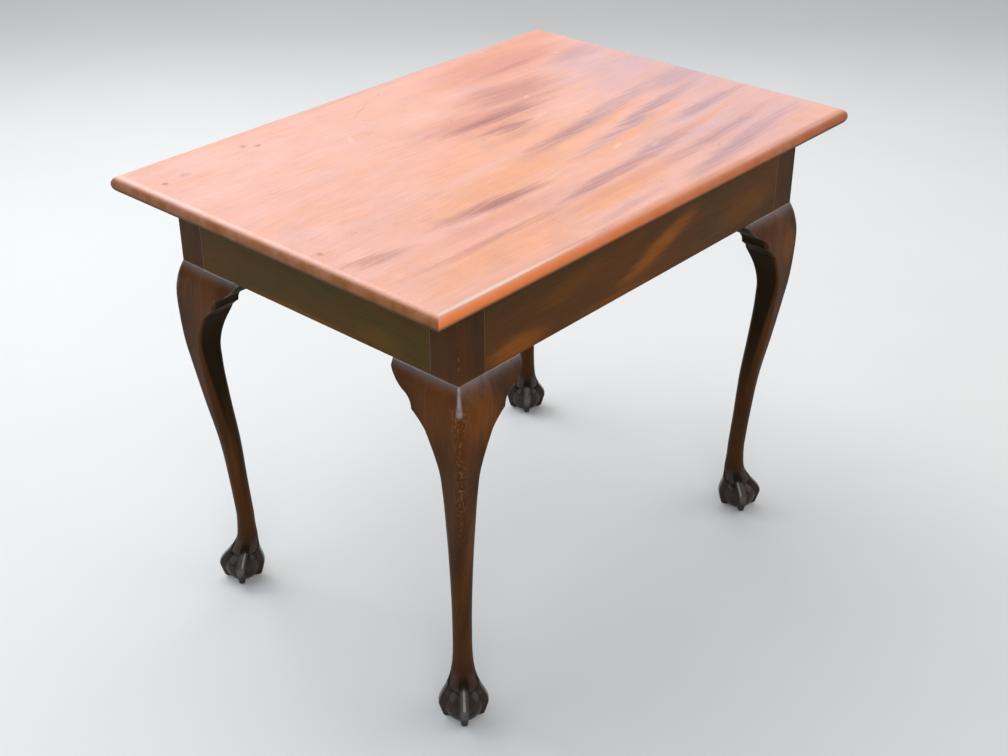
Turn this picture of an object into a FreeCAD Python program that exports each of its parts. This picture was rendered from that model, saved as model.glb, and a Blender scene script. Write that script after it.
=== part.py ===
import FreeCAD, Part
import math
import os

# Tea table with a flat top, plain aprons, cabriole legs and ball-and-claw feet, in millimetres.
# The origin is on the floor under the middle of the top. X runs along the long side, Y along the
# short side and Z up. The front is towards -Y.

# Whole table
TABLE_HEIGHT = 660.0
TOP_LENGTH = 838.0
TOP_WIDTH = 578.0
TOP_THICKNESS = 24.0
TOP_BOARDS = 3
END_OVERHANG = 69.0             # of the top past the posts, at its ends
SIDE_OVERHANG = 38.0            # the same along its long sides

# Aprons and their tenons
APRON_HEIGHT = 107.0
APRON_THICKNESS = 20.0
TENON_THICKNESS = 8.0
TENON_SETBACK = 6.0             # from the outer face of the apron
TENON_SHOULDER = 12.0           # above and below the tenon
TENON_GAP = 5.0                 # left between two tenons that meet in a post
MORTISE_SPARE = 2.0             # room for glue at the end of a tenon
TENON_CLEARANCE = 0.1

# Legs
POST_SIZE = 45.0
POST_EDGE_RADIUS = 0.8
KNEE_ARRIS_RADIUS = 1.5
KNEE_TOE_RADIUS = 8.0           # of the arris at the toe
KNEE_INNER_RADIUS = 11.0        # of the inner corner at the toe
KNEE_SWELL = 12.0               # how far the knee stands out past the post
KNEE_DROP = 70.0                # from the apron down to the toe of the knee block
CORNER_FULLNESS = 2.6           # swell of the knee at its arris, gentle
SEAM_FULLNESS = 6.0             # swell of the knee beside its block, round
SHANK_HOLLOW = 15.7             # how far the inner side is hollowed back, at most
SHANK_GROWTH = 20.8             # thickness beyond the ankle just below the knee
ANKLE_DIAMETER = 25.2
ANKLE_HEIGHT = 115.0

# Sections of the knee, as shares of its drop below the apron
KNEE_SHARES = (0.0, 0.04, 0.11, 0.22, 0.36, 0.56, 0.78, 1.0)

# Sections of the shank from the knee to the ankle: share of the way up from the ankle, share of the
# hollow, share of the growth, roundness of the outer and inner corners and of the two at the sides
SHANK_SECTIONS = (
    (0.92, 0.66, 1.00, 0.41, 0.15),
    (0.84, 1.00, 0.64, 0.45, 0.35),
    (0.76, 0.98, 0.51, 0.55, 0.50),
    (0.59, 0.73, 0.37, 0.75, 0.75),
    (0.37, 0.35, 0.16, 0.90, 0.90),
    (0.16, 0.17, 0.02, 0.96, 0.96),
    (0.00, 0.00, 0.00, 0.96, 0.96),
)

# Ball-and-claw foot
BALL_RADIUS = 26.0
BALL_CENTRE_HEIGHT = 24.0       # less than the radius, so that the ball stands on a flat
FOOT_INSET = 24.0               # from the outer faces of the post to the middle of the ball
CLAW_RADIUS = 6.2
CLAW_TOP = 80.0
CLAW_SPREAD = 27.3              # from the middle of the ball to the middle of a claw, at most
CLAW_DIRECTIONS = (45.0, 135.0, 225.0, 315.0)

# Sections of the neck above the ball: share of the way from the ankle down to the middle of the ball,
# and share of the growth from the ankle's radius to the ball's
NECK_SECTIONS = (
    (0.21, 0.04),
    (0.37, 0.12),
    (0.52, 0.27),
    (0.60, 0.40),
    (0.67, 0.49),
    (0.73, 0.42),
    (0.78, 0.02),
)
NECK_ROUNDNESS = 0.96

# Sections of a claw: share of its height, share of its spread, share of its thickness
CLAW_SECTIONS = (
    (1.00, 0.29, 0.80),
    (0.84, 0.40, 0.80),
    (0.70, 0.55, 0.88),
    (0.59, 0.72, 0.92),
    (0.50, 0.86, 1.00),
    (0.41, 0.96, 1.08),
    (0.32, 1.00, 1.00),
    (0.22, 0.96, 0.84),
    (0.12, 0.90, 0.74),
    (0.03, 0.80, 0.56),
)

# Knee blocks
KNEE_BLOCK_LENGTH = 61.0        # along the apron
KNEE_BLOCK_DEPTH = 34.0         # inwards from the outer face of the apron
KNEE_BLOCK_END = 9.0            # height of the outer end
END_FULLNESS = 3.0              # swell of the block at its outer end, flatter
LOBE_DISTANCE = 31.0            # from the leg to the lower end of the outer lobe of the lower edge
LOBE_DROP = 32.5                # from the apron to that end
LOBE_BULGE = 2.6                # how far the lobe is rounded out
CUSP_DISTANCE = 21.5            # from the leg to the cusp below the lobe
CUSP_DROP = 50.0                # from the apron to the cusp
CUSP_HOLLOW = 2.5               # how far the edge is hollowed between the lobe and the cusp
SWEEP_HOLLOW = 1.0              # how far it is hollowed between the cusp and the leg

# Corner blocks inside the frame
CORNER_BLOCK_REACH = 55.0       # along each apron, from the post
CORNER_BLOCK_HEIGHT = 40.0
CORNER_BLOCK_DROP = 30.0        # below the top of the frame

# Buttons that hold the top, and their slots in the aprons
BUTTON_WIDTH = 40.0
BUTTON_DEPTH = 34.0
BUTTON_THICKNESS = 22.0
BUTTON_GAP = 2.0                # between the button and the face of the apron
TONGUE_LENGTH = 8.0             # into the apron
TONGUE_CLEARANCE = 0.5
SLOT_DROP = 12.0                # from the top of the apron to the slot
SLOT_HEIGHT = 8.0
SLOT_SIDE_ROOM = 3.0            # beside the tongue, for the top to shrink and swell
SLOT_END_ROOM = 2.0             # beyond the tongue
LONG_BUTTON_SHARE = 0.18        # of a long apron between the posts, up to the middle of a button
SHORT_BUTTON_SHARE = 0.34       # the same on a short apron

# Wood screws
SCREW_HEAD_RADIUS = 4.2
SCREW_HEAD_HEIGHT = 2.6
SCREW_SHANK_RADIUS = 2.1
SCREW_POINT = 5.0
SCREW_CLEARANCE = 0.05
TOP_SCREW_BITE = 12.0           # into the top
POST_SCREW_BITE = 20.0          # into the post

# Levels and lengths that follow
FRAME_LENGTH = TOP_LENGTH - 2 * END_OVERHANG    # over the outer faces of the posts
FRAME_WIDTH = TOP_WIDTH - 2 * SIDE_OVERHANG
FRAME_TOP = TABLE_HEIGHT - TOP_THICKNESS
APRON_BOTTOM = FRAME_TOP - APRON_HEIGHT
KNEE_TOE = APRON_BOTTOM - KNEE_DROP
LONG_APRON = FRAME_LENGTH - 2 * POST_SIZE       # between the posts
SHORT_APRON = FRAME_WIDTH - 2 * POST_SIZE
TENON_LENGTH = POST_SIZE - TENON_SETBACK - TENON_THICKNESS - TENON_GAP
ANKLE_INSET = POST_SIZE - ANKLE_DIAMETER / 2
CORNERS = {"front_left": (-1, -1), "front_right": (1, -1), "back_left": (-1, 1), "back_right": (1, 1)}
LOFT_DEGREE = 2                 # low, so that a carved surface doesn't wave between its sections

ORIGIN = FreeCAD.Vector(0, 0, 0)
ALONG_X = FreeCAD.Vector(1, 0, 0)
ALONG_Y = FreeCAD.Vector(0, 1, 0)
ALONG_Z = FreeCAD.Vector(0, 0, 1)


def span_box(x_span, y_span, z_span):
    """Box between two limits on each axis."""
    corner = FreeCAD.Vector(x_span[0], y_span[0], z_span[0])
    return Part.makeBox(x_span[1] - x_span[0], y_span[1] - y_span[0], z_span[1] - z_span[0], corner)


def closed_face(edges):
    """Flat face inside a closed chain of edges."""
    return Part.Face(Part.Wire(edges))


def line(start, end):
    """Straight edge."""
    return Part.LineSegment(start, end).toShape()


def arc(start, middle, end):
    """Round edge through three points."""
    return Part.Arc(start, middle, end).toShape()


def rounded_outline(corners, radii, height):
    """Level closed wire with straight sides, each corner rounded to its own radius."""
    points = [FreeCAD.Vector(x, y, height) for x, y in corners]
    rounds = []
    for i, here in enumerate(points):
        back = (points[i - 1] - here).normalize()
        ahead = (points[(i + 1) % len(points)] - here).normalize()
        half_angle = back.getAngle(ahead) / 2
        reach = radii[i] / math.tan(half_angle)
        inset = radii[i] / math.sin(half_angle) - radii[i]
        middle = here + (back + ahead).normalize() * inset
        rounds.append(Part.Arc(here + back * reach, middle, here + ahead * reach))
    edges = []
    for i, bend in enumerate(rounds):
        edges.append(bend.toShape())
        edges.append(line(bend.EndPoint, rounds[(i + 1) % len(rounds)].StartPoint))
    return Part.Wire(edges)


def at_corner(piece, signs):
    """Piece drawn in the corner at -X -Y, with the post's outer edge at the origin, put at a corner."""
    placed = piece.copy()
    placed.translate(FreeCAD.Vector(-FRAME_LENGTH / 2, -FRAME_WIDTH / 2, 0))
    if signs[0] > 0:
        placed = placed.mirror(ORIGIN, ALONG_X)
    if signs[1] > 0:
        placed = placed.mirror(ORIGIN, ALONG_Y)
    return placed


def other_side(piece):
    """Corner piece of one apron turned over the corner's diagonal, for the apron beside it."""
    return piece.mirror(ORIGIN, (ALONG_X - ALONG_Y).normalize())


def stadium(length, along):
    """Upright outline of the top along one axis, with half-round ends."""
    radius = TOP_THICKNESS / 2
    middle = FRAME_TOP + radius

    def point(reach, height):
        return along * reach + ALONG_Z * height

    straight = length / 2 - radius
    near_round = arc(point(-straight, TABLE_HEIGHT), point(-length / 2, middle), point(-straight, FRAME_TOP))
    far_round = arc(point(straight, FRAME_TOP), point(length / 2, middle), point(straight, TABLE_HEIGHT))
    underside = line(point(-straight, FRAME_TOP), point(straight, FRAME_TOP))
    face = line(point(straight, TABLE_HEIGHT), point(-straight, TABLE_HEIGHT))
    return closed_face([near_round, underside, far_round, face])


def top_slab():
    """Whole top: half-round edges on all four sides, meeting in an arris at each corner."""
    long_profile = stadium(TOP_LENGTH, ALONG_X)
    long_profile.translate(ALONG_Y * (-TOP_WIDTH / 2))
    short_profile = stadium(TOP_WIDTH, ALONG_Y)
    short_profile.translate(ALONG_X * (-TOP_LENGTH / 2))
    return long_profile.extrude(ALONG_Y * TOP_WIDTH).common(short_profile.extrude(ALONG_X * TOP_LENGTH))


def top_board(slab, number, screw_holes):
    """One of the edge-glued boards of the top, counted from the front, with holes for its screws."""
    width = TOP_WIDTH / TOP_BOARDS
    start = -TOP_WIDTH / 2 + number * width
    strip = span_box((-TOP_LENGTH / 2, TOP_LENGTH / 2), (start, start + width), (FRAME_TOP, TABLE_HEIGHT))
    return slab.common(strip).cut(screw_holes)


def carved(sections):
    """Smooth solid through a row of closed sections."""
    return Part.makeLoft(sections, True, False, False, LOFT_DEGREE)


def knee_swell(drop, fullness):
    """How far the knee stands out this far below the apron, rounder for a larger fullness."""
    return KNEE_SWELL * (1 - (1 - drop / KNEE_DROP) ** fullness)


def knee_sections():
    """Sections of the knee from the apron to the toe, its arris and inner corner rounder towards the toe."""
    sections = []
    for share in KNEE_SHARES:
        drop = share * KNEE_DROP
        arris = -knee_swell(drop, CORNER_FULLNESS)
        seam = -knee_swell(drop, SEAM_FULLNESS)
        outer = KNEE_ARRIS_RADIUS + (KNEE_TOE_RADIUS - KNEE_ARRIS_RADIUS) * share ** 2
        inner = POST_EDGE_RADIUS + (KNEE_INNER_RADIUS - POST_EDGE_RADIUS) * share ** 2
        corners = ((arris, arris), (POST_SIZE, seam), (POST_SIZE, POST_SIZE), (seam, POST_SIZE))
        radii = (outer, POST_EDGE_RADIUS, inner, POST_EDGE_RADIUS)
        sections.append(rounded_outline(corners, radii, APRON_BOTTOM - drop))
    return sections


def square_section(inset, thickness, roundness, side_roundness, height):
    """Section of the leg with equal sides, its middle at the same distance from both outer faces."""
    near = inset - thickness / 2
    far = inset + thickness / 2
    corners = ((near, near), (far, near), (far, far), (near, far))
    ridge = roundness * thickness / 2
    side = side_roundness * thickness / 2
    return rounded_outline(corners, (ridge, side, ridge, side), height)


def foot_axis(height):
    """Distance of the foot's middle from the outer faces, swinging out from the ankle's to the ball's."""
    way = (CLAW_TOP - height) / (CLAW_TOP - BALL_CENTRE_HEIGHT)
    way = min(1.0, max(0.0, way))
    return ANKLE_INSET + (FOOT_INSET - ANKLE_INSET) * way ** 2 * (3 - 2 * way)


def shank_sections():
    """Sections from the toe of the knee down to the ankle and on into the ball."""
    sections = []
    for share, hollow, growth, roundness, side_roundness in SHANK_SECTIONS:
        thickness = ANKLE_DIAMETER + growth * SHANK_GROWTH
        inset = POST_SIZE - hollow * SHANK_HOLLOW - thickness / 2
        height = ANKLE_HEIGHT + share * (KNEE_TOE - ANKLE_HEIGHT)
        sections.append(square_section(inset, thickness, roundness, side_roundness, height))
    for share, growth in NECK_SECTIONS:
        height = ANKLE_HEIGHT - share * (ANKLE_HEIGHT - BALL_CENTRE_HEIGHT)
        thickness = ANKLE_DIAMETER + growth * (2 * BALL_RADIUS - ANKLE_DIAMETER)
        sections.append(square_section(foot_axis(height), thickness, NECK_ROUNDNESS, NECK_ROUNDNESS, height))
    return sections


def claw(direction):
    """Talon that grips the ball on one side, with a knuckle and a blunt nail that curls under."""
    path = [(reach * CLAW_SPREAD, share * CLAW_TOP) for share, reach, thickness in CLAW_SECTIONS]
    rings = []
    for i, (reach, height) in enumerate(path):
        above = path[max(i - 1, 0)]
        below = path[min(i + 1, len(path) - 1)]
        tilt = math.degrees(math.atan2(above[0] - below[0], above[1] - below[1]))
        ring = Part.Wire(Part.makeCircle(CLAW_RADIUS * CLAW_SECTIONS[i][2]))
        ring.rotate(ORIGIN, ALONG_Y, tilt)
        ring.translate(FreeCAD.Vector(reach, 0, height))
        ring.rotate(ORIGIN, ALONG_Z, direction)
        ring.translate((ALONG_X + ALONG_Y) * foot_axis(height))
        rings.append(ring)
    return carved(rings)


def mortise():
    """Room for one tenon in the post, for the long apron."""
    inner_end = POST_SIZE - TENON_LENGTH - MORTISE_SPARE
    cheeks = (TENON_SETBACK - TENON_CLEARANCE, TENON_SETBACK + TENON_THICKNESS + TENON_CLEARANCE)
    ends = (APRON_BOTTOM + TENON_SHOULDER - TENON_CLEARANCE, FRAME_TOP - TENON_SHOULDER + TENON_CLEARANCE)
    return span_box((inner_end, POST_SIZE), cheeks, ends)


def leg():
    """Leg in one piece: post, knee, shank and ball-and-claw foot, with mortises and a screw hole."""
    knee = knee_sections()
    shank = [knee[-1]] + shank_sections()
    post = Part.Face(knee[0]).extrude(ALONG_Z * APRON_HEIGHT)
    ball = Part.makeSphere(BALL_RADIUS, FreeCAD.Vector(FOOT_INSET, FOOT_INSET, BALL_CENTRE_HEIGHT))
    claws = [claw(direction) for direction in CLAW_DIRECTIONS]
    timber = post.fuse([carved(knee), carved(shank), ball] + claws)
    room = (-POST_SIZE, 2 * POST_SIZE)
    timber = timber.common(span_box(room, room, (0, FRAME_TOP)))
    return timber.cut([mortise(), other_side(mortise()), corner_screw(SCREW_CLEARANCE)])


def knee_block():
    """Block beside a leg under the long apron, its face running on from the knee, its lower edge cusped."""
    def end_outline(distance, fullness):
        drops = [share * KNEE_DROP for share in KNEE_SHARES]
        face = [FreeCAD.Vector(distance, -knee_swell(drop, fullness), APRON_BOTTOM - drop) for drop in drops]
        curve = Part.BSplineCurve()
        curve.interpolate(face)
        inner_low = FreeCAD.Vector(distance, KNEE_BLOCK_DEPTH, KNEE_TOE)
        inner_high = FreeCAD.Vector(distance, KNEE_BLOCK_DEPTH, APRON_BOTTOM)
        return Part.Wire([curve.toShape(), line(face[-1], inner_low), line(inner_low, inner_high),
                          line(inner_high, face[0])])

    far_end = POST_SIZE + KNEE_BLOCK_LENGTH
    ends = [end_outline(POST_SIZE, SEAM_FULLNESS), end_outline(far_end, END_FULLNESS)]
    blank = Part.makeLoft(ends, True, True)

    def point(distance, drop):
        return FreeCAD.Vector(distance, -2 * KNEE_SWELL, APRON_BOTTOM - drop)

    def sweep(start, end, bulge):
        chord = end - start
        outwards = FreeCAD.Vector(-chord.z, 0, chord.x).normalize()
        return arc(start, (start + end) * 0.5 + outwards * bulge, end)

    tip = point(far_end, KNEE_BLOCK_END)
    lobe = point(POST_SIZE + LOBE_DISTANCE, LOBE_DROP)
    cusp = point(POST_SIZE + CUSP_DISTANCE, CUSP_DROP)
    toe = point(POST_SIZE, KNEE_DROP)
    top_near = point(POST_SIZE, 0)
    top_far = point(far_end, 0)
    straight = [line(toe, top_near), line(top_near, top_far), line(top_far, tip)]
    outer_sweeps = [sweep(tip, lobe, LOBE_BULGE), sweep(lobe, cusp, -CUSP_HOLLOW)]
    outline = closed_face(straight + outer_sweeps + [sweep(cusp, toe, -SWEEP_HOLLOW)])
    return blank.common(outline.extrude(ALONG_Y * (2 * KNEE_SWELL + KNEE_BLOCK_DEPTH)))


def apron(length, button_share):
    """Apron between two posts with its outer face on Y = 0: a tenon at each end, slots for two buttons."""
    half = length / 2
    board = span_box((-half, half), (0, APRON_THICKNESS), (APRON_BOTTOM, FRAME_TOP))
    cheeks = (TENON_SETBACK, TENON_SETBACK + TENON_THICKNESS)
    tenon_ends = (APRON_BOTTOM + TENON_SHOULDER, FRAME_TOP - TENON_SHOULDER)
    tenons = span_box((-half - TENON_LENGTH, half + TENON_LENGTH), cheeks, tenon_ends)
    slot_reach = BUTTON_WIDTH / 2 + SLOT_SIDE_ROOM
    depth = (APRON_THICKNESS - TONGUE_LENGTH - SLOT_END_ROOM, APRON_THICKNESS)
    level = (FRAME_TOP - SLOT_DROP - SLOT_HEIGHT, FRAME_TOP - SLOT_DROP)
    slots = []
    button_place = (0.5 - button_share) * length
    for middle in (-button_place, button_place):
        slots.append(span_box((middle - slot_reach, middle + slot_reach), depth, level))
    return board.fuse(tenons).cut(slots).removeSplitter()


def screw(length, spare=0.0):
    """Countersunk screw up from its head at the origin, or the hole for it with spare room."""
    shank = SCREW_SHANK_RADIUS + spare
    outline = ((0, 0), (SCREW_HEAD_RADIUS, 0), (shank, SCREW_HEAD_HEIGHT), (shank, length - SCREW_POINT),
               (0, length + spare), (0, 0))
    profile = Part.makePolygon([FreeCAD.Vector(x, 0, z) for x, z in outline])
    return Part.Face(profile).revolve(ORIGIN, ALONG_Z, 360)


def button():
    """Button on the long apron at the middle of its length: a block with a tongue, and a screw hole."""
    half = BUTTON_WIDTH / 2
    start = APRON_THICKNESS + BUTTON_GAP
    block = span_box((-half, half), (start, start + BUTTON_DEPTH), (FRAME_TOP - BUTTON_THICKNESS, FRAME_TOP))
    tongue_top = FRAME_TOP - SLOT_DROP
    tongue_level = (tongue_top - SLOT_HEIGHT + TONGUE_CLEARANCE, tongue_top)
    tongue = span_box((-half, half), (APRON_THICKNESS - TONGUE_LENGTH, start), tongue_level)
    return block.fuse(tongue).removeSplitter().cut(button_screw(SCREW_CLEARANCE))


def button_screw(spare=0.0):
    """Screw through a button up into the top, or the hole for it."""
    placed = screw(BUTTON_THICKNESS + TOP_SCREW_BITE, spare)
    inward = APRON_THICKNESS + BUTTON_GAP + BUTTON_DEPTH / 2
    placed.translate(FreeCAD.Vector(0, inward, FRAME_TOP - BUTTON_THICKNESS))
    return placed


def on_long_apron(piece, signs):
    """Piece drawn at the middle of the long apron, moved to a button's place near one corner."""
    placed = piece.copy()
    along = (0.5 - LONG_BUTTON_SHARE) * LONG_APRON
    placed.translate(FreeCAD.Vector(signs[0] * along, -FRAME_WIDTH / 2, 0))
    return placed.mirror(ORIGIN, ALONG_Y) if signs[1] > 0 else placed


def on_short_apron(piece, signs):
    """The same on the short apron near that corner."""
    placed = piece.copy()
    placed.rotate(ORIGIN, ALONG_Z, -90)
    along = (0.5 - SHORT_BUTTON_SHARE) * SHORT_APRON
    placed.translate(FreeCAD.Vector(-FRAME_LENGTH / 2, signs[1] * along, 0))
    return placed.mirror(ORIGIN, ALONG_X) if signs[0] > 0 else placed


def corner_block():
    """Block across the inside corner, notched over the post, with a screw hole through its middle."""
    far = POST_SIZE + CORNER_BLOCK_REACH
    plan = ((POST_SIZE, APRON_THICKNESS), (far, APRON_THICKNESS), (APRON_THICKNESS, far),
            (APRON_THICKNESS, POST_SIZE), (POST_SIZE, POST_SIZE), (POST_SIZE, APRON_THICKNESS))
    level = FRAME_TOP - CORNER_BLOCK_DROP - CORNER_BLOCK_HEIGHT
    outline = Part.makePolygon([FreeCAD.Vector(x, y, level) for x, y in plan])
    return Part.Face(outline).extrude(ALONG_Z * CORNER_BLOCK_HEIGHT).cut(corner_screw(SCREW_CLEARANCE))


def corner_screw(spare=0.0):
    """Screw through a corner block along the diagonal into the post, or the hole for it."""
    face = (POST_SIZE + CORNER_BLOCK_REACH + APRON_THICKNESS) / 2
    block_depth = (face - POST_SIZE) * math.sqrt(2)
    placed = screw(block_depth + POST_SCREW_BITE, spare)
    placed.rotate(ORIGIN, ALONG_Y - ALONG_X, -90)
    level = FRAME_TOP - CORNER_BLOCK_DROP - CORNER_BLOCK_HEIGHT / 2
    placed.translate(FreeCAD.Vector(face, face, level))
    return placed


def all_pieces():
    """Every piece of the table by its name."""
    pieces = {}
    button_screws = []
    corner_screws = []
    leg_blank = leg()
    long_block = knee_block()
    short_block = other_side(long_block)
    for corner, signs in CORNERS.items():
        pieces["leg_" + corner] = at_corner(leg_blank, signs)
        pieces["knee_block_long_" + corner] = at_corner(long_block, signs)
        pieces["knee_block_short_" + corner] = at_corner(short_block, signs)
        pieces["corner_block_" + corner] = at_corner(corner_block(), signs)
        pieces["button_long_" + corner] = on_long_apron(button(), signs)
        pieces["button_short_" + corner] = on_short_apron(button(), signs)
        corner_screws.append(at_corner(corner_screw(), signs))
        button_screws.append(on_long_apron(button_screw(), signs))
        button_screws.append(on_short_apron(button_screw(), signs))
    pieces["corner_block_screws"] = Part.makeCompound(corner_screws)
    pieces["button_screws"] = Part.makeCompound(button_screws)

    long_apron = apron(LONG_APRON, LONG_BUTTON_SHARE)
    long_apron.translate(ALONG_Y * (-FRAME_WIDTH / 2))
    pieces["apron_front"] = long_apron
    pieces["apron_back"] = long_apron.mirror(ORIGIN, ALONG_Y)
    short_apron = apron(SHORT_APRON, SHORT_BUTTON_SHARE)
    short_apron.rotate(ORIGIN, ALONG_Z, -90)
    short_apron.translate(ALONG_X * (-FRAME_LENGTH / 2))
    pieces["apron_left"] = short_apron
    pieces["apron_right"] = short_apron.mirror(ORIGIN, ALONG_X)

    slab = top_slab()
    top_holes = []
    for signs in CORNERS.values():
        top_holes.append(on_long_apron(button_screw(SCREW_CLEARANCE), signs))
        top_holes.append(on_short_apron(button_screw(SCREW_CLEARANCE), signs))
    for number in range(TOP_BOARDS):
        pieces["top_board_%d" % (number + 1)] = top_board(slab, number, top_holes)
    return pieces


os.makedirs("parts", exist_ok=True)
for name, piece in all_pieces().items():
    piece.exportStep("parts/%s.step" % name)
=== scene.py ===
import math

import bmesh
import bpy
import numpy as np
from bpy.props import FloatProperty, FloatVectorProperty, PointerProperty
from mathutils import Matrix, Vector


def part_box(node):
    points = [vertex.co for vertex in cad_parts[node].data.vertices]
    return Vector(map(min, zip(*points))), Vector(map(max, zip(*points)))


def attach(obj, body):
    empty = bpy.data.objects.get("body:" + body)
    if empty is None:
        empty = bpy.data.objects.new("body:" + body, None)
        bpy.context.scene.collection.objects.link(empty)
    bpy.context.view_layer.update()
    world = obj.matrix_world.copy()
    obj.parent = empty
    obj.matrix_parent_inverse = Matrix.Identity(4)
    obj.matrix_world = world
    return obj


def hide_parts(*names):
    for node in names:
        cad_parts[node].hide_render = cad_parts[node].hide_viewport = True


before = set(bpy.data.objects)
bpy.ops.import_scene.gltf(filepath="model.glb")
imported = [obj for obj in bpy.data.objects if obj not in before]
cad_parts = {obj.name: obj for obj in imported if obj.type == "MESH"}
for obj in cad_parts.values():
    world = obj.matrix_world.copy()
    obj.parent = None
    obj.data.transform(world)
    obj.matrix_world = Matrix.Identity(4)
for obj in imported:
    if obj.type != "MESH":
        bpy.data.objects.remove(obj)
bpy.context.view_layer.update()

bl_info = {
    "name": "Tea table with cabriole legs",
    "version": (1, 0, 0),
    "blender": (4, 5, 0),
    "location": "View3D > Sidebar > Tea table",
    "description": "Builds the looks of a tea table with ball-and-claw feet around its packed frame",
    "category": "Object",
}

# Places in the frame, in metres
FRAME_HALF_LENGTH = -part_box("apron_left")[0].x
FRAME_HALF_WIDTH = -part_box("apron_front")[0].y
APRON_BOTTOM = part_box("apron_front")[0].z
FRAME_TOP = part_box("apron_front")[1].z
TABLE_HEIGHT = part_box("top_board_1")[1].z
TOP_HALF_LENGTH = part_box("top_board_1")[1].x
TOP_HALF_WIDTH = -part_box("top_board_1")[0].y
TOP_BOARDS = ("top_board_1", "top_board_2", "top_board_3")
CORNERS = {"front_left": (-1, -1), "front_right": (1, -1), "back_left": (-1, 1), "back_right": (1, 1)}

# Sections of the shank from the ankle up to the knee: share of the way up, share of the hollow, share of
# the growth, roundness of the outer and inner corners and of the two at the sides
SHANK_SECTIONS = (
    (0.00, 0.00, 0.00, 0.96, 0.96),
    (0.16, 0.17, 0.02, 0.96, 0.96),
    (0.37, 0.35, 0.16, 0.90, 0.90),
    (0.59, 0.73, 0.37, 0.75, 0.75),
    (0.76, 0.98, 0.51, 0.55, 0.50),
    (0.84, 1.00, 0.64, 0.45, 0.35),
    (0.92, 0.66, 1.00, 0.41, 0.15),
)
# Sections of the neck from the ball up to the ankle: share of the way down from the ankle to the middle of
# the ball, and share of the growth from the ankle's radius to the ball's
NECK_SECTIONS = (
    (1.00, 0.00),
    (0.78, 0.02),
    (0.73, 0.42),
    (0.67, 0.49),
    (0.60, 0.40),
    (0.52, 0.27),
    (0.37, 0.12),
    (0.21, 0.04),
    (0.00, 0.00),
)
# Sections of a claw from its nail up: share of its height, share of its spread, share of its thickness
CLAW_SECTIONS = (
    (0.00, 0.74, 0.20),
    (0.03, 0.80, 0.56),
    (0.12, 0.90, 0.74),
    (0.22, 0.96, 0.84),
    (0.32, 1.00, 1.00),
    (0.41, 0.96, 1.08),
    (0.50, 0.86, 1.00),
    (0.59, 0.72, 0.92),
    (0.70, 0.55, 0.88),
    (0.84, 0.40, 0.80),
    (1.00, 0.27, 0.70),
    (1.44, 0.05, 0.30),
)
# Claws: their directions, how softly they join the ball, how flat they are, where their crests end across
# them and begin above the floor, and how wide the creases beside them are
CLAW_ANGLES = np.radians((45.0, 135.0, 225.0, 315.0))
CLAW_BLEND = 0.0005
CLAW_FLATNESS = 5.0
CLAW_SMOOTHINGS = 2
CREST_SHARES = (0.45, 0.80)
CREST_HEIGHTS = (0.012, 0.030)
CREASE_WIDTH = 0.0016

# Grids of the surfaces: numbers of lines, how far they crowd towards one end, single heights and shares
FOOT_RINGS = 90
SHANK_RINGS = 84
KNEE_RINGS = 44
KNEE_CROWDING = 1.6
POST_RINGS = 4
POST_START = 0.03
JOINT_RISES = (0.0004, 0.003)
ARC_POINTS = 52
SIDE_SHARES = np.array((0.03, 0.08, 0.3, 0.7, 0.92, 0.97))
SWEEP_POINTS = 22
BLOCK_FACE_LINES = 30
BLOCK_FACE_CROWDING = 1.4
BLOCK_SIDE_LINES = 6
BLOCK_TOP_LINES = 5
BOARD_ROUND_LINES = 15
BOARD_LENGTH_LINES = 80
BOARD_WIDTH_LINES = 24
SHARP_DEGREES = 35.0
LEG_SHARP_DEGREES = 50.0
WELD_DISTANCE = 1e-6
THIN_EDGE = 1e-7

# Marks on legs and knee blocks. A pair is the range, in metres down from the apron, in which a mark comes or
# goes, a width or drop is how far it spreads, and the other values are strengths
WEAR_START = (0.022, 0.032)
WEAR_HALVED = (0.055, 0.080)
WEAR_END = (0.14, 0.26)
WEAR_WIDTH = 0.009
POST_WEAR = 0.4
POST_WEAR_END = (-0.004, 0.004)
POST_WEAR_WIDTH = 0.002
BLOCK_WEAR = 0.5
BLOCK_WEAR_WIDTH = 0.0016
LEDGE_START = (-0.0004, 0.0)
LEDGE_END = (0.0008, 0.0018)
# Pale line along the ledge under the apron, on legs and blocks: a painted highlight
LEDGE_HIGHLIGHT = 0.30
BLOCK_LEDGE_HIGHLIGHT = 0.5
LEDGE_SHINE = 0.40
LEDGE_SHINE_DROP = 0.006
# Wedge on the knee's outer edge that carries a painted highlight and gloss
WEDGE_END = (0.028, 0.037)
WEDGE_HIGHLIGHT = 0.55
POST_JOINT_END = (-0.001, 0.001)
POST_JOINT_LINE = 0.34
KNEE_JOINT_END = (0.050, 0.068)
KNEE_JOINT_LINE = 0.10
# Painted sheen: a pale haze over the top of the knee and block on the long side, fading down from the apron
KNEE_SHEEN = 0.15
BLOCK_SHEEN = 0.09
SHEEN_DROP = 0.017
# Painted shade on the legs' inner sides starts just below the apron
INSIDE_START = (0.0, 0.004)
# Wedge on the knee's outer edge, which carries a painted highlight and gloss: half its width at the apron,
# its growth for each metre down and the drop at which that stops, and the shares of the half width between
# which it fades
WEDGE_HALF_WIDTH = 0.0016
WEDGE_GROWTH = 0.10
WEDGE_GROWTH_END = 0.04
WEDGE_RIM = (0.6, 1.4)
# Shares of a section's width, from its outer edge, that tell the outer edge, the long side and the inside
OUTER_SHARES = (0.25, 0.5)
LONG_SIDE_SHARES = (-0.1, 0.1)
INSIDE_FAR_SHARES = (0.93, 0.99)
INSIDE_NEAR_SHARES = (0.02, 0.10)
# Heights in metres above the floor in which the painted shade of the legs' inner sides comes and the foot's
# shine goes
INSIDE_HEIGHTS = (0.12, 0.36)
FOOT_SHINE_HEIGHTS = (0.064, 0.080)
BALL_SHINE = 0.22

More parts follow.
